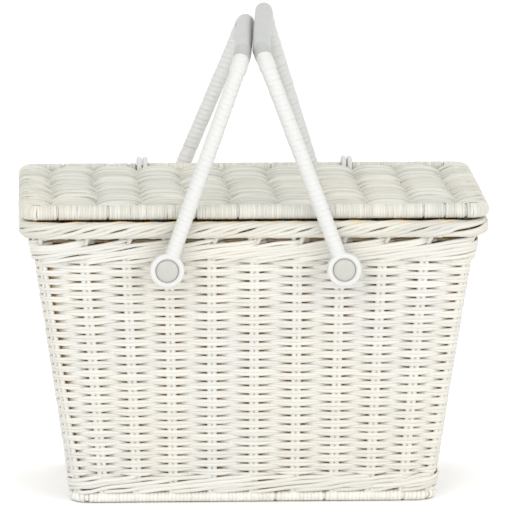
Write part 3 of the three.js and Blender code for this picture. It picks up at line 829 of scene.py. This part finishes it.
class BASKET_OT_walls(bpy.types.Operator):
    """Weave the rows of cane in and out of the stakes, all the way round"""

    bl_idname = "basket.walls"
    bl_label = "Woven walls"
    bands = 4
    straightness = 0.965  # near one, the canes run straight from stake to stake; near nought, they roll
    clearance = 1.9 * MM  # from the middle of the wall to the near face of a cane
    squareness = 0.72
    apart = 0.99 * MM  # from a row's middle to each cane, where it passes behind a stake pair
    opened = 0.47 * MM  # added where a row passes before a stake pair
    held = 0.42 * MM  # taken back at the front left corner, where the rows lie tighter
    under_wale, into_wale = 4 * MM, 3.5 * MM
    depth_play, reach_play, height_play = 0.35 * MM, 0.3 * MM, 0.3 * MM

    def execute(self, context):
        rng = np.random.default_rng(sizes().seed)
        pitch = sizes().row_pitch
        low = LOWER_WALE[1].z - self.under_wale
        high = WALL_HIGH.z + self.into_wale
        rows = int((high - low) / pitch)
        for band in range(self.bands):
            bundle = Bundle()
            for row in range(band * rows // self.bands, (band + 1) * rows // self.bands):
                self.weave_row(bundle, rng, row, low + (row + 0.5) * pitch)
            bundle.settle(
                f"woven_wall_{band + 1}", "painted_cane", "basket",
                "front_weave", "right_weave", "back_weave", "left_weave")
        return {"FINISHED"}

    def weave_row(self, bundle, rng, row, z):
        """Two thin canes side by side that pass before one stake pair and behind the next."""
        column = all_round()
        share = column / ROUND
        swing = np.cos(math.pi * (column + row))
        wave = np.arcsin(self.straightness * swing) / math.asin(self.straightness)
        half = sizes().cane
        reach = self.clearance + half
        corner = np.cos(math.pi * np.clip(np.abs(column - ROUND + 1) / 0.9, 0, 0.5)) ** 2
        spread = self.apart + (self.opened - self.held * corner) * smooth(0, 0.6, wave)
        for hand in HANDS:
            depth = wave * (reach + wobble(rng, 40, self.reach_play, share))
            depth = depth + wobble(rng, 60, self.depth_play, share)
            height = z + hand * spread + wobble(rng, 30, self.height_play, share)
            line, facing = on_wall(column, height, depth)
            tall = spread * (1.22 + rng.uniform(-0.04, 0.06))
            bundle.sweep(
                line, facing, level(len(line)), half, tall, CANE_SIDES, True, rng.uniform(),
                paint_cover(depth, half), self.squareness)


class BASKET_OT_wales(bpy.types.Operator):
    """Twine the bands of thicker cane above the foot and under the hole row"""

    bl_idname = "basket.wales"
    bl_label = "Wales"
    span = 3.6  # columns from a cane's start to its end
    lead = 0.3  # columns
    tucked = 2.6 * MM  # depth of a cane's ends behind the middle of the wall
    stations = 44
    play = 1.2 * MM
    lining_rises = (-1.2 * MM, 1.3 * MM, 3.8 * MM)  # above the middle of the hole row
    lining_depth = 3.6 * MM
    lining_half = (1.1 * MM, 1.3 * MM)
    lining_paint = 0.25

    def execute(self, context):
        rng = np.random.default_rng(sizes().seed + 1)
        lower = LOWER_WALE[0].z - 3.4 * MM, LOWER_WALE[1].z + 0.8 * MM
        upper = WALL_HIGH.z - 5.5 * MM, UPPER_WALE[1].z + 5.0 * MM
        self.wale(rng, "lower_wale", *lower, 3.4 * MM, 3.4 * MM)
        self.wale(rng, "upper_wale", *upper, 3.8 * MM, 5.4 * MM)
        self.lining(rng)
        return {"FINISHED"}

    def wale(self, rng, node, low, high, reach_low, reach_high):
        """Each cane starts behind a stake, climbs over the next three and tucks in again."""
        half = sizes().wale_cane
        share = np.linspace(0, 1, self.stations)
        out = smooth(0, 0.13, share) * smooth(1, 0.87, share)
        climb = low + 2 * half + (high - low - 4 * half) * share
        reach = reach_low + (reach_high - reach_low) * share
        bundle = Bundle()
        for start in range(ROUND):
            column = start - self.lead + self.span * share + 0.04 * rng.uniform(-1, 1)
            apart = half * rng.uniform(0.9, 1.35)
            for hand in HANDS:
                depth = -self.tucked + (reach + self.tucked + rng.uniform(-0.4, 0.4) * MM) * out
                z = climb + hand * apart + wobble(rng, 4, self.play, share)
                line, facing = on_wall(column, z, depth)
                paint = paint_cover(depth + 0.6 * MM, half)
                wide = half * rng.uniform(1.0, 1.16)
                bundle.sweep(
                    line, facing, level(len(line)), 0.8 * wide, 1.2 * wide, CANE_SIDES, False,
                    rng.uniform(), paint)
        bundle.settle(f"{node}_canes", "painted_cane", "basket", node)

    def lining(self, rng):
        """Bare canes run on behind the stakes of the hole row."""
        column = all_round()
        share = column / ROUND
        middle_z = (UPPER_WALE[1].z + BORDER_LOW.z) / 2
        bundle = Bundle()
        for rise in self.lining_rises:
            z = middle_z + rise + wobble(rng, 40, 0.5 * MM, share)
            line, facing = on_wall(column, z, -self.lining_depth + wobble(rng, 40, 0.4 * MM, share))
            bundle.sweep(
                line, facing, level(len(line)), *self.lining_half, CANE_SIDES, True, rng.uniform(),
                self.lining_paint)
        bundle.settle("hole_row_lining", "painted_cane", "basket", "upper_wale")


class BASKET_OT_border(bpy.types.Operator):
    """Roll the stake ends over each other into the top border"""

    bl_idname = "basket.border"
    bl_label = "Top border"
    half = 1.95 * MM
    depth = 13 * MM
    span = 3.7  # columns from a cane's start to its end
    starts = (0, 0.32, 0.65)  # of the canes that begin between one stake pair and the next
    shoulders = 0.75
    first_angle, turning = math.radians(-100), math.radians(380)
    stations = 54

    def execute(self, context):
        rng = np.random.default_rng(sizes().seed + 2)
        middle_z = (BORDER_LOW.z + BORDER_HIGH.z) / 2
        outer = BORDER_HIGH.x - mid_wall(np.array([middle_z]))[0][0]
        centre = outer - self.depth / 2
        wide = self.depth / 2 - self.half
        tall = (BORDER_HIGH.z - BORDER_LOW.z) / 2 - self.half
        share = np.linspace(0, 1, self.stations)
        angle = self.first_angle + self.turning * share
        up = level(len(share))
        facing_out = smooth(-0.6, 0.3, np.cos(circle(CANE_SIDES)))[None, :]
        bundle = Bundle()
        for start in range(ROUND):
            for offset in self.starts:
                column = start + offset + self.span * share + rng.uniform(-0.05, 0.05)
                bulge = 1 + wobble(rng, 5, 0.07, share) + rng.uniform(-0.07, 0.04)
                turn = angle + rng.uniform(-0.1, 0.1)
                cosine, sine = np.cos(turn), np.sin(turn)
                depth = centre + wide * square(cosine, self.shoulders) * bulge
                line, facing = on_wall(column, middle_z, depth)
                line[:, 2] = middle_z + tall * square(sine, self.shoulders) * bulge
                across = facing * cosine[:, None] + up * sine[:, None]
                along_section = up * cosine[:, None] - facing * sine[:, None]
                # painted shade: less paint on the tops of the border canes, in the shade under the lid's rim,
                # and on their undersides
                painted_shade_top_and_under = 1 - 0.55 * smooth(0.9, 0.99, sine) - 0.3 * smooth(-0.8, -0.98, sine)
                bundle.sweep(
                    line, across, along_section, self.half, self.half * 1.12, CANE_SIDES, False,
                    rng.uniform(), facing_out * painted_shade_top_and_under[:, None])
        bundle.settle("rolled_border_canes", "shaded_rim_cane", "basket", "top_border")
        return {"FINISHED"}


def foot_outline(inset, pitch):
    """Points and outward directions at an even pitch round the foot, half way up it."""
    half_x, half_y, radius = FOOT_HIGH.x - inset, FOOT_HIGH.y - inset, OUTER_CORNER - inset
    return outline_points(half_x, half_y, radius, FOOT_HIGH.z / 2, pitch)


class BASKET_OT_foot(bpy.types.Operator):
    """Bind the foot border and weave the base inside it"""

    bl_idname = "basket.foot"
    bl_label = "Foot and base"
    half_wide = 6.5 * MM
    strip = 0.9 * MM
    sunk_share, sunk_size = 0.12, 0.8  # some turns lie deeper and show as gaps
    core_inset = (1.5 * MM, 1.2 * MM)
    cane = 1.15 * MM
    row_pitch = 4.6 * MM
    bar_pitch = 24.0 * MM
    bar_radius = 1.5 * MM
    steepness = 1.5

    def execute(self, context):
        self.border()
        self.base()
        return {"FINISHED"}

    def border(self):
        rng = np.random.default_rng(sizes().seed + 3)
        half_high = FOOT_HIGH.z / 2
        points, across = foot_outline(self.half_wide, sizes().foot_pitch)
        count = len(points)
        sunk = np.where(rng.uniform(size=count) < self.sunk_share, self.sunk_size, 1.0)
        squeeze = sunk * rng.uniform(0.98, 1.0, count) + wobble(rng, 60, 0.03, np.linspace(0, 1, count))
        wide = (self.half_wide - self.strip) * squeeze
        tall = (half_high - self.strip) * squeeze
        source = turn_points("foot turns", points, across, wide, tall)
        settle_grown(
            "foot_binding", source, turns_tree, "lit_foot_cane", "basket", "base_border", paint=0.9,
            Half_width=0.74 * sizes().foot_pitch, Half_thickness=self.strip / half_high, Lean=0.09, Seed=11)

        line, across = foot_outline(self.half_wide, CORE_PITCH)
        wide, tall = self.half_wide - self.core_inset[0], half_high - self.core_inset[1]
        bundle = Bundle()
        bundle.sweep(line, across, level(len(line)), wide, tall, CORE_SIDES, True, 0.3, 0.35)
        bundle.settle("foot_core", "painted_cane", "basket", "base_border")

    def base(self):
        rng = np.random.default_rng(sizes().seed + 4)
        low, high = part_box("base_panel")
        middle = (low.z + high.z) / 2
        bars = int(high.x / self.bar_pitch)
        x = np.linspace(low.x, high.x, 24 * bars)
        across, up = axis_rows(1, len(x)), level(len(x))
        facing = np.sin(circle(FINE_CANE_SIDES))[None, :]
        bundle = Bundle()
        for row in range(int((high.y - low.y) / self.row_pitch)):
            swing = np.cos(math.pi * (x / self.bar_pitch + row))
            wave = np.tanh(self.steepness * swing) / math.tanh(self.steepness)
            spread = (1.1 + 0.4 * wave ** 2) * MM
            paint = 0.9 * smooth(-0.2, 0.6, facing * square(wave, 0.5)[:, None] + 0.3)
            for hand in HANDS:
                y = low.y + (row + 0.5) * self.row_pitch + hand * spread
                line = np.column_stack([x, y, middle + 2.6 * MM * wave])
                bundle.sweep(
                    line, across, up, spread, self.cane, FINE_CANE_SIDES, False, rng.uniform(), paint)
        bundle.settle("woven_base", "painted_cane", "basket", "base_panel")

        lines = [
            np.array([[bar * self.bar_pitch, low.y, middle], [bar * self.bar_pitch, high.y, middle]])
            for bar in range(-bars, bars + 1)
        ]
        settle_grown(
            "base_bars", edge_lines("bar lines", lines), rods_tree, "bare_cane", "basket", "base_panel",
            tone=0.4, paint=0.4, Radius=self.bar_radius, Sides=8)


class BASKET_OT_lid(bpy.types.Operator):
    """Weave the lid's fine canes over and under its ribs and round the side rims"""

    bl_idname = "basket.lid"
    bl_label = "Woven lid"
    cane = 1.15 * MM
    apart = 1.03 * MM  # from a row's middle to each of its two canes at a rim
    half_at_rim = 1.08 * MM
    steepness = 1.9
    stations = 100
    cut_back = 8  # stations left off each end of a row that stops short of the side rims
    tucked = 2  # stations given up at each end to the turn round a side rim

    def execute(self, context):
        rng = np.random.default_rng(sizes().seed + 5)
        half_y = RIM_Y - RIM_RADIUS - 0.6 * MM
        rows = int(2 * half_y / sizes().lid_pitch)
        pitch = 2 * half_y / rows
        bundle = Bundle()
        for row in range(rows):
            self.weave_row(bundle, rng, row, -half_y + (row + 0.5) * pitch)
        bundle.settle("woven_lid", "lid_cane", "lid", "lid_weave")
        return {"FINISHED"}

    def weave_row(self, bundle, rng, row, y):
        """Two fine canes that swell over one rib and dip under the next."""
        swell = sizes().lid_swell
        rim = RIM_RADIUS - self.cane - 0.2 * MM
        wrap_angle = np.linspace(math.radians(104), math.radians(-95), 14)
        reach = RIM_X - 0.35 * rim
        x = np.linspace(-reach, reach, self.stations)
        share = (x / RIM_X + 1) / 2
        lean = 1.2 * MM * math.sin(y * 31) + rng.uniform(-0.8, 0.8) * MM
        swing = np.cos(math.pi * ((x + lean) / RIB_PITCH + row))
        wave = np.tanh(self.steepness * swing) / math.tanh(self.steepness)
        near_rim = smooth(RIM_X - 20 * MM, RIM_X - 8 * MM, np.abs(x))
        inland = 1 - near_rim
        spread = self.apart + 0.9 * MM * wave ** 2 * inland
        facing = np.sin(circle(FINE_CANE_SIDES))[None, :]
        for hand in HANDS:
            sway = wobble(rng, 8, 0.5 * MM, share)
            lift = swell * wave + 0.9 * MM * np.abs(wave) ** 2 + wobble(rng, 12, 0.45 * MM, share)
            z = RIM_Z + lift * inland + rim * math.sin(wrap_angle[0]) * near_rim
            line = np.column_stack([x, y + hand * spread + sway * inland, z])
            tall = spread * 1.1
            if abs(y) < RIM_Y - RIM_CORNER:
                right, left = self.round_rims(rng, y + hand * self.apart, rim, wrap_angle)
                kept = slice(self.tucked, -self.tucked)
                at_rim = np.full(len(wrap_angle), self.half_at_rim)
                line = np.concatenate([left[::-1], line[kept], right])
                tall = np.concatenate([at_rim, tall[kept], at_rim])
            else:
                kept = slice(self.cut_back, -self.cut_back)
                line, tall = line[kept], tall[kept]
            across = axis_rows(1, len(line))
            up = np.cross(unit_rows(np.gradient(line, axis=0)), across)
            # Paint thins below the rim level, where it didn't reach; the thinning on the sides and undersides
            # of each cane is a painted shade in the seams between the canes.
            top_side = (line[:, 2:3] - RIM_Z) / swell
            paint = 0.2 + 0.8 * smooth(-1.1, -0.1, top_side) * smooth(-0.1, 0.75, facing)
            bundle.sweep(
                line, across, up, tall, self.cane, FINE_CANE_SIDES, False, rng.uniform(), paint)

    @staticmethod
    def round_rims(rng, y, rim, wrap_angle):
        """The turns of one cane round the right and the left rim, each as tight and as slanted as it falls."""
        draws = zip((1, -1), rng.uniform(0.8, 1.1, 2), rng.uniform(-2.0, 2.0, 2) * MM)
        return [
            np.column_stack([
                side * (RIM_X + rim * tight * np.cos(wrap_angle)),
                y + slip * np.linspace(0, 1, len(wrap_angle)),
                RIM_Z + rim * tight * np.sin(wrap_angle),
            ])
            for side, tight, slip in draws
        ]


def rim_outline(pitch):
    """Points and outward directions at an even pitch along the middle of the lid's rim rod."""
    return outline_points(RIM_X, RIM_Y, RIM_CORNER, RIM_Z, pitch)


def clear_of_hinges(places):
    """True away from the hinge loops, which pass round the bare rim rod."""
    keep = np.ones(len(places), bool)
    for side in SIDES:
        low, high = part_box(f"{side}_hinge_loop")
        keep &= (places[:, 0] <= low.x - 1 * MM) | (places[:, 0] >= high.x + 1 * MM) | (places[:, 1] <= 0)
    return keep


class BASKET_OT_rim(bpy.types.Operator):
    """Bind the lid's bent rim rod along the front, the back and round the corners"""

    bl_idname = "basket.rim"
    bl_label = "Lid binding"
    strip = 0.62 * MM
    sunk_share, sunk_size = 0.04, 0.84  # some turns lie deeper and show as gaps
    rod_inset = 1.9 * MM

    def execute(self, context):
        rng = np.random.default_rng(sizes().seed + 6)
        pitch = sizes().binding_pitch
        places, facing = rim_outline(pitch)
        keep = (np.abs(places[:, 1]) > RIM_Y - RIM_CORNER - 2 * MM) & clear_of_hinges(places)
        places, facing = places[keep], facing[keep]
        sunk = np.where(rng.uniform(size=len(places)) < self.sunk_share, self.sunk_size, 1.0)
        size = (RIM_RADIUS - self.strip) * rng.uniform(0.972, 1.0, len(places)) * sunk
        at_corner = smooth(0.05, 0.4, np.abs(facing[:, 0] * facing[:, 1]))
        source = turn_points("rim turns", places, facing, size, size, 1 + 0.7 * at_corner)
        settle_grown(
            "lid_rim_binding", source, turns_tree, "shaded_rim_cane", "lid", "lid_binding", paint=0.8,
            Half_width=0.67 * pitch, Half_thickness=self.strip / RIM_RADIUS, Lean=0.05, Seed=21)

        line, across = rim_outline(CORE_PITCH)
        rod = RIM_RADIUS - self.rod_inset
        bundle = Bundle()
        bundle.sweep(line, across, level(len(line)), rod, rod, CORE_SIDES, True, 0.3, 0.2)
        bundle.settle("lid_rim_rod", "bare_cane", "lid", "lid_binding")
        return {"FINISHED"}


class Bail:
    """Places on a handle: along runs front to back, up runs from the pivots to the grip."""

    grip_radius = 8 * MM

    def __init__(self, side):
        self.side = side
        pivot = JOINTS[f"{side}_handle_swing"]["pos_m"]
        low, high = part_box(f"{side}_handle_grip")
        self.pivot = Vector((pivot[0], 0, pivot[2]))
        top = Vector(((low.x + high.x) / 2, 0, (low.z + high.z) / 2))
        cross = Vector((high.x - low.x, high.z - low.z)) - Vector((2, 2)) * self.grip_radius
        self.length = (top - self.pivot).length
        self.up = (top - self.pivot).normalized()
        self.out = Vector((self.up.z, 0, -self.up.x))
        self.grip_half = high.y
        self.spring = math.asin(cross.length / 2 / self.length)
        eye_low, eye_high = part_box(f"{side}_handle_back_eye")
        self.leg_y = (eye_low.y + eye_high.y) / 2
        self.bend = self.leg_y - self.grip_half

    def place(self, along, up):
        """World points from distances along Y and up the handle."""
        return np.outer(np.ones(len(along)), self.pivot) + np.outer(along, (0, 1, 0)) + np.outer(up, self.up)

    def leg(self, start, step):
        """Stations from above the back eye to the grip: distances along and up, and the path's headings."""
        straight = np.arange(start, self.length - self.bend, step)
        angle = np.arange(0, TAU / 4, step / self.bend)
        along = np.concatenate([np.full(len(straight), self.leg_y), self.grip_half + self.bend * np.cos(angle)])
        up = np.concatenate([straight, self.length - self.bend + self.bend * np.sin(angle)])
        heading = np.concatenate([np.zeros(len(straight)), angle])
        return along, up, heading

    def rings(self, along, up, heading, radius, sides):
        """Round sections square to the path; radius is one number for each station and side."""
        angle = circle(sides)
        side = np.outer(np.cos(heading), (0, 1, 0)) + np.outer(np.sin(heading), self.up)
        out = np.broadcast_to(np.array(self.out), side.shape)
        spoke = np.cos(angle)[None, :, None] * side[:, None, :]
        spoke = spoke + np.sin(angle)[None, :, None] * out[:, None, :]
        return self.place(along, up)[:, None, :] + radius[:, :, None] * spoke

    def sprung(self, rings):
        """The back leg leans further right than the front leg, and the grip crosses between them."""
        lean = self.spring * np.clip(rings[..., 1] / self.grip_half, -1, 1)
        x = rings[..., 0] - self.pivot.x
        z = rings[..., 2] - self.pivot.z
        turned_x = self.pivot.x + x * np.cos(lean) + z * np.sin(lean)
        turned_z = self.pivot.z + z * np.cos(lean) - x * np.sin(lean)
        return np.stack([turned_x, rings[..., 1], turned_z], -1)


class BASKET_OT_handles(bpy.types.Operator):
    """Wind the strip round the handle legs and fit the grips"""

    bl_idname = "basket.handles"
    bl_label = "Handles"
    sides = 28
    step = 0.5 * MM
    start = 13 * MM  # the first turn, above the pivot
    core = 6.35 * MM
    strip = 0.42 * MM
    collar_length = 30 * MM
    collar_pitch = 3.4 * MM
    collar_rise = 0.6 * MM
    sleeve_sides = 32
    sleeve_bend = math.radians(42)
    lip_length = 2.5 * MM
    lip_rise = 1.05 * MM
    lip_low = 1.3 * MM
    sleeve_swell = 0.25 * MM

    def execute(self, context):
        rng = np.random.default_rng(sizes().seed + 8)
        for side in SIDES:
            bail = Bail(side)
            for face, mirror in FACES:
                self.wrap(rng, bail, face, mirror)
            self.grip(bail)
        return {"FINISHED"}

    def wrap(self, rng, bail, face, mirror):
        """A strip wound upwards, each turn lapping the one below, with a tight collar at the grip."""
        along, up, heading = bail.leg(self.start, self.step)
        run = np.arange(len(along)) * self.step
        collar = smooth(run[-1] - self.collar_length, run[-1] - self.collar_length + 2 * MM, run)
        phase = run[:, None] / sizes().strip_pitch + circle(self.sides)[None, :] / TAU
        phase = phase + (run / self.collar_pitch * collar)[:, None]
        drift = 0.1 * np.sin(run / (31 * MM) + rng.uniform(0, TAU))[:, None]
        lap = np.mod(phase + drift, 1)
        turn = np.floor(phase + drift).astype(int)
        uneven = rng.uniform(-0.16, 0.16, turn.max() + 2) * MM
        radius = self.core + self.strip * (1 - lap) ** 0.8 + uneven[turn] + self.collar_rise * collar[:, None]
        rings = bail.rings(along, up, heading, radius, self.sides)
        rings[:, :, 1] *= mirror
        # painted shade along the edges of each turn, where it laps the one below
        paint = smooth(0, 0.14, lap) * smooth(1.0, 0.93, lap)
        tones = rng.uniform(size=turn.max() + 2)
        bundle = Bundle()
        bundle.add(bail.sprung(rings), flip=mirror > 0, tone=tones[turn], paint=paint, run=run)
        bundle.settle(
            f"{bail.side}_handle_{face}_winding", "strip_wrap", f"{bail.side}_handle",
            f"{bail.side}_handle_{face}_wrap")

    def grip(self, bail):
        """A smooth sleeve drawn part way round both bends, with rounded lips and a little swelling."""
        bent = self.sleeve_bend * bail.bend
        half = bail.grip_half + bent
        run = np.linspace(half, -half, 180)
        past = np.clip(np.abs(run) - bail.grip_half, 0, bent) / bail.bend
        along = np.clip(run, -bail.grip_half, bail.grip_half) + np.sign(run) * bail.bend * np.sin(past)
        up = bail.length - bail.bend * (1 - np.cos(past))
        heading = TAU / 4 - np.sign(run) * past
        edge = np.clip((half - np.abs(run)) / self.lip_length, 0, 1)
        lip = np.sqrt(1 - (1 - edge) ** 2)
        swell = self.sleeve_swell * np.cos(run / half * TAU / 4)
        radius = (bail.grip_radius - self.lip_low) + self.lip_rise * lip + swell
        rings = bail.rings(
            along, up, heading, np.tile(radius[:, None], (1, self.sleeve_sides)), self.sleeve_sides)
        bundle = Bundle()
        # painted shade over the last few millimetres of each lip, where the sleeve meets the collar
        bundle.add(bail.sprung(rings), paint=np.clip(edge + 0.2, 0, 1)[:, None])
        bundle.settle(
            f"{bail.side}_grip_sleeve", "grip_plastic", f"{bail.side}_handle", f"{bail.side}_handle_grip")


class BASKET_OT_eyes(bpy.types.Operator):
    """Fit the moulded eyes and the domed buttons at the ends of the handles"""

    bl_idname = "basket.eyes"
    bl_label = "Eyes and buttons"
    eye_radius = 15 * MM
    eye_bore = 3.6 * MM
    eye_edge = 2.5 * MM  # rounding of the edge by the wall
    eye_lip = 2.55 * MM  # half the thickness of the raised ring round the button
    eye_seat = 4 * MM  # depth of the button's seat
    button_radius = 9.85 * MM
    button_depth = 4.7 * MM
    button_side = 1.6 * MM
    bevel = 0.6 * MM
    neck = 3 * MM

    def execute(self, context):
        for side in SIDES:
            x, _, z = JOINTS[f"{side}_handle_swing"]["pos_m"]
            for face, sign in FACES:
                self.eye(side, face, sign, (x, z))
                self.button(side, face, sign, (x, z))
        return {"FINISHED"}

    def eye(self, side, face, sign, centre):
        """A ring with a raised lip, turned about its pivot."""
        low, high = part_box(f"{side}_handle_back_eye")
        back, front = low.y, high.y
        edge, lip = self.eye_edge, self.eye_lip
        profile = [
            (self.eye_bore, back),
            (self.eye_radius - edge, back),
            *arc(self.eye_radius - edge, back + edge, edge, -90, 0, 7),
            *arc(self.eye_radius - lip, front - lip, lip, 0, 180, 15),
            (self.eye_radius - 2 * lip, front - self.eye_seat),
            (self.eye_bore, front - self.eye_seat),
        ]
        # painted shade in the seat round the button, inside the raised lip
        paint = np.ones((len(profile), 1))
        paint[-4:] = 0.2
        rings = turned_rings(profile, centre, sign)
        bundle = Bundle()
        bundle.add(np.concatenate([rings, rings[:1]]), flip=sign > 0, paint=np.concatenate([paint, paint[:1]]))
        bundle.settle(f"{side}_{face}_eye_ring", "strip_wrap", f"{side}_handle", f"{side}_handle_{face}_eye")

    def button(self, side, face, sign, centre):
        """A domed head on its shaft, with a painted shade in the gap round its edge."""
        low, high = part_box(f"{side}_back_pivot_bolt")
        radius, crown = self.button_radius, high.y
        base = crown - self.button_depth
        shoulder = base + self.button_side
        shaft = [
            (self.neck, low.y),
            (self.neck, base),
            (radius - self.bevel, base),
            (radius, base + self.bevel),
        ]
        dome = [
            (radius * math.cos(turn) ** 0.75, shoulder + (crown - shoulder) * math.sin(turn))
            for turn in np.radians(np.linspace(0, 88, 14))
        ]
        reach = np.array([point[0] for point in dome])
        # painted shade on the shaft and towards the dome's edge
        paint = np.concatenate([np.full(len(shaft), 0.1), smooth(radius, 0.85 * radius, reach)])[:, None]
        bundle = Bundle()
        bundle.add(turned_rings(shaft + dome, centre, sign), flip=sign > 0, paint=paint)
        bundle.settle(f"{side}_{face}_button", "button_plastic", "basket", f"{side}_{face}_pivot_bolt")


class BASKET_OT_hinges(bpy.types.Operator):
    """Tie the two hinge loops round the rear rim rod and the top border"""

    bl_idname = "basket.hinges"
    bl_label = "Hinge loops"
    half = 2.3 * MM
    apart = 2.7 * MM
    proud = 1.2 * MM
    bend = 2.6 * MM

    def execute(self, context):
        for side in SIDES:
            low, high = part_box(f"{side}_hinge_loop")
            reach = (high.y - low.y) / 2 - self.half + self.proud
            foot = low.z + self.half + self.bend
            y, z = np.array([
                *arc(0, RIM_Z, reach, 0, 180, 20),
                *arc(self.bend - reach, foot, self.bend, 180, 270, 6),
                *arc(reach - self.bend, foot, self.bend, 270, 360, 6),
            ]).T
            bundle = Bundle()
            for hand in HANDS:
                x = (low.x + high.x) / 2 + hand * self.apart
                line = np.column_stack([np.full(len(y), x), (high.y + low.y) / 2 + y, z])
                travel = unit_rows(np.roll(line, -1, 0) - np.roll(line, 1, 0))
                across = axis_rows(0, len(line))
                bundle.sweep(line, across, np.cross(travel, across), self.half, self.half, 12, True, 0.5, 0.8)
            bundle.settle(f"{side}_hinge_cord", "strip_wrap", "basket", f"{side}_hinge_loop")
        return {"FINISHED"}


class BASKET_OT_hardware(bpy.types.Operator):
    """Give every CAD piece that still shows its own finish"""

    bl_idname = "basket.hardware"
    bl_label = "Hardware finishes"
    keys = {"washer": "zinc_steel", "nut": "zinc_steel", "spacer": "strip_wrap"}

    def execute(self, context):
        for name, node in frame["nodes"].items():
            if not node.hide_render:
                node.data.materials.clear()
                node.data.materials.append(finish(self.keys.get(name.split("_")[-1], "bare_cane")))
        return {"FINISHED"}


class BASKET_OT_stage(bpy.types.Operator):
    """Lay a plain pale floor and hang soft studio lights"""

    bl_idname = "basket.stage"
    bl_label = "Stage"
    half_floor = 30
    floor_shade = 0.97
    lights = (  # name, place in metres, size in metres, power in watts
        ("key", (-1.4, -3.4, 2.0), 2.6, 42),
        ("fill", (2.2, -3.0, 1.6), 2.6, 36),
        ("top", (0.0, 1.2, 3.2), 3.0, 12),
    )
    aim = Vector((0, 0, 0.2))
    world_strength = 1.04

    def execute(self, context):
        self.floor(context)
        for light in self.lights:
            self.hang(context, *light)
        world = bpy.data.worlds.new("studio")
        world.use_nodes = True
        sky = world.node_tree.nodes["Background"].inputs
        sky["Color"].default_value = (1, 1, 1, 1)
        sky["Strength"].default_value = self.world_strength
        context.scene.world = world
        context.scene.view_settings.view_transform = "Standard"
        return {"FINISHED"}

    def floor(self, context):
        half = self.half_floor
        corners = [(-half, -half, 0), (half, -half, 0), (half, half, 0), (-half, half, 0)]
        mesh = bpy.data.meshes.new("floor")
        mesh.from_pydata(corners, [], [(0, 1, 2, 3)])
        material, wires = new_finish("studio floor")
        close_finish(wires, Base_Color=rgba((self.floor_shade,) * 3), Roughness=0.9)
        mesh.materials.append(material)
        floor = bpy.data.objects.new("floor", mesh)
        context.scene.collection.objects.link(floor)

    def hang(self, context, name, place, size, power):
        data = bpy.data.lights.new(name, "AREA")
        data.shape = "DISK"
        data.size = size
        data.energy = power
        light = bpy.data.objects.new(name, data)
        light.location = place
        light.rotation_euler = (self.aim - light.location).to_track_quat("-Z", "Y").to_euler()
        context.scene.collection.objects.link(light)


class BASKET_PT_panel(bpy.types.Panel):
    bl_label = "Picnic basket"
    bl_idname = "BASKET_PT_panel"
    bl_space_type = "VIEW_3D"
    bl_region_type = "UI"
    bl_category = "Basket"

    def draw(self, context):
        for group in (context.scene.basket_sizes, context.scene.basket_colours):
            for name in group.__annotations__:
                self.layout.prop(group, name)
        for operator in OPERATORS:
            self.layout.operator(operator.bl_idname)


OPERATORS = (
    BASKET_OT_camera,
    BASKET_OT_stakes,
    BASKET_OT_walls,
    BASKET_OT_wales,
    BASKET_OT_border,
    BASKET_OT_foot,
    BASKET_OT_lid,
    BASKET_OT_rim,
    BASKET_OT_handles,
    BASKET_OT_eyes,
    BASKET_OT_hinges,
    BASKET_OT_hardware,
    BASKET_OT_stage,
)
CLASSES = (BasketSizes, BasketColours, *OPERATORS, BASKET_PT_panel)


def register():
    for cls in CLASSES:
        bpy.utils.register_class(cls)
    bpy.types.Scene.basket_sizes = PointerProperty(type=BasketSizes)
    bpy.types.Scene.basket_colours = PointerProperty(type=BasketColours)


def unregister():
    del bpy.types.Scene.basket_colours
    del bpy.types.Scene.basket_sizes
    for cls in reversed(CLASSES):
        bpy.utils.unregister_class(cls)


def main():
    register()
    for operator in OPERATORS:
        group, name = operator.bl_idname.split(".")
        getattr(getattr(bpy.ops, group), name)()


if __name__ == "__main__":
    main()
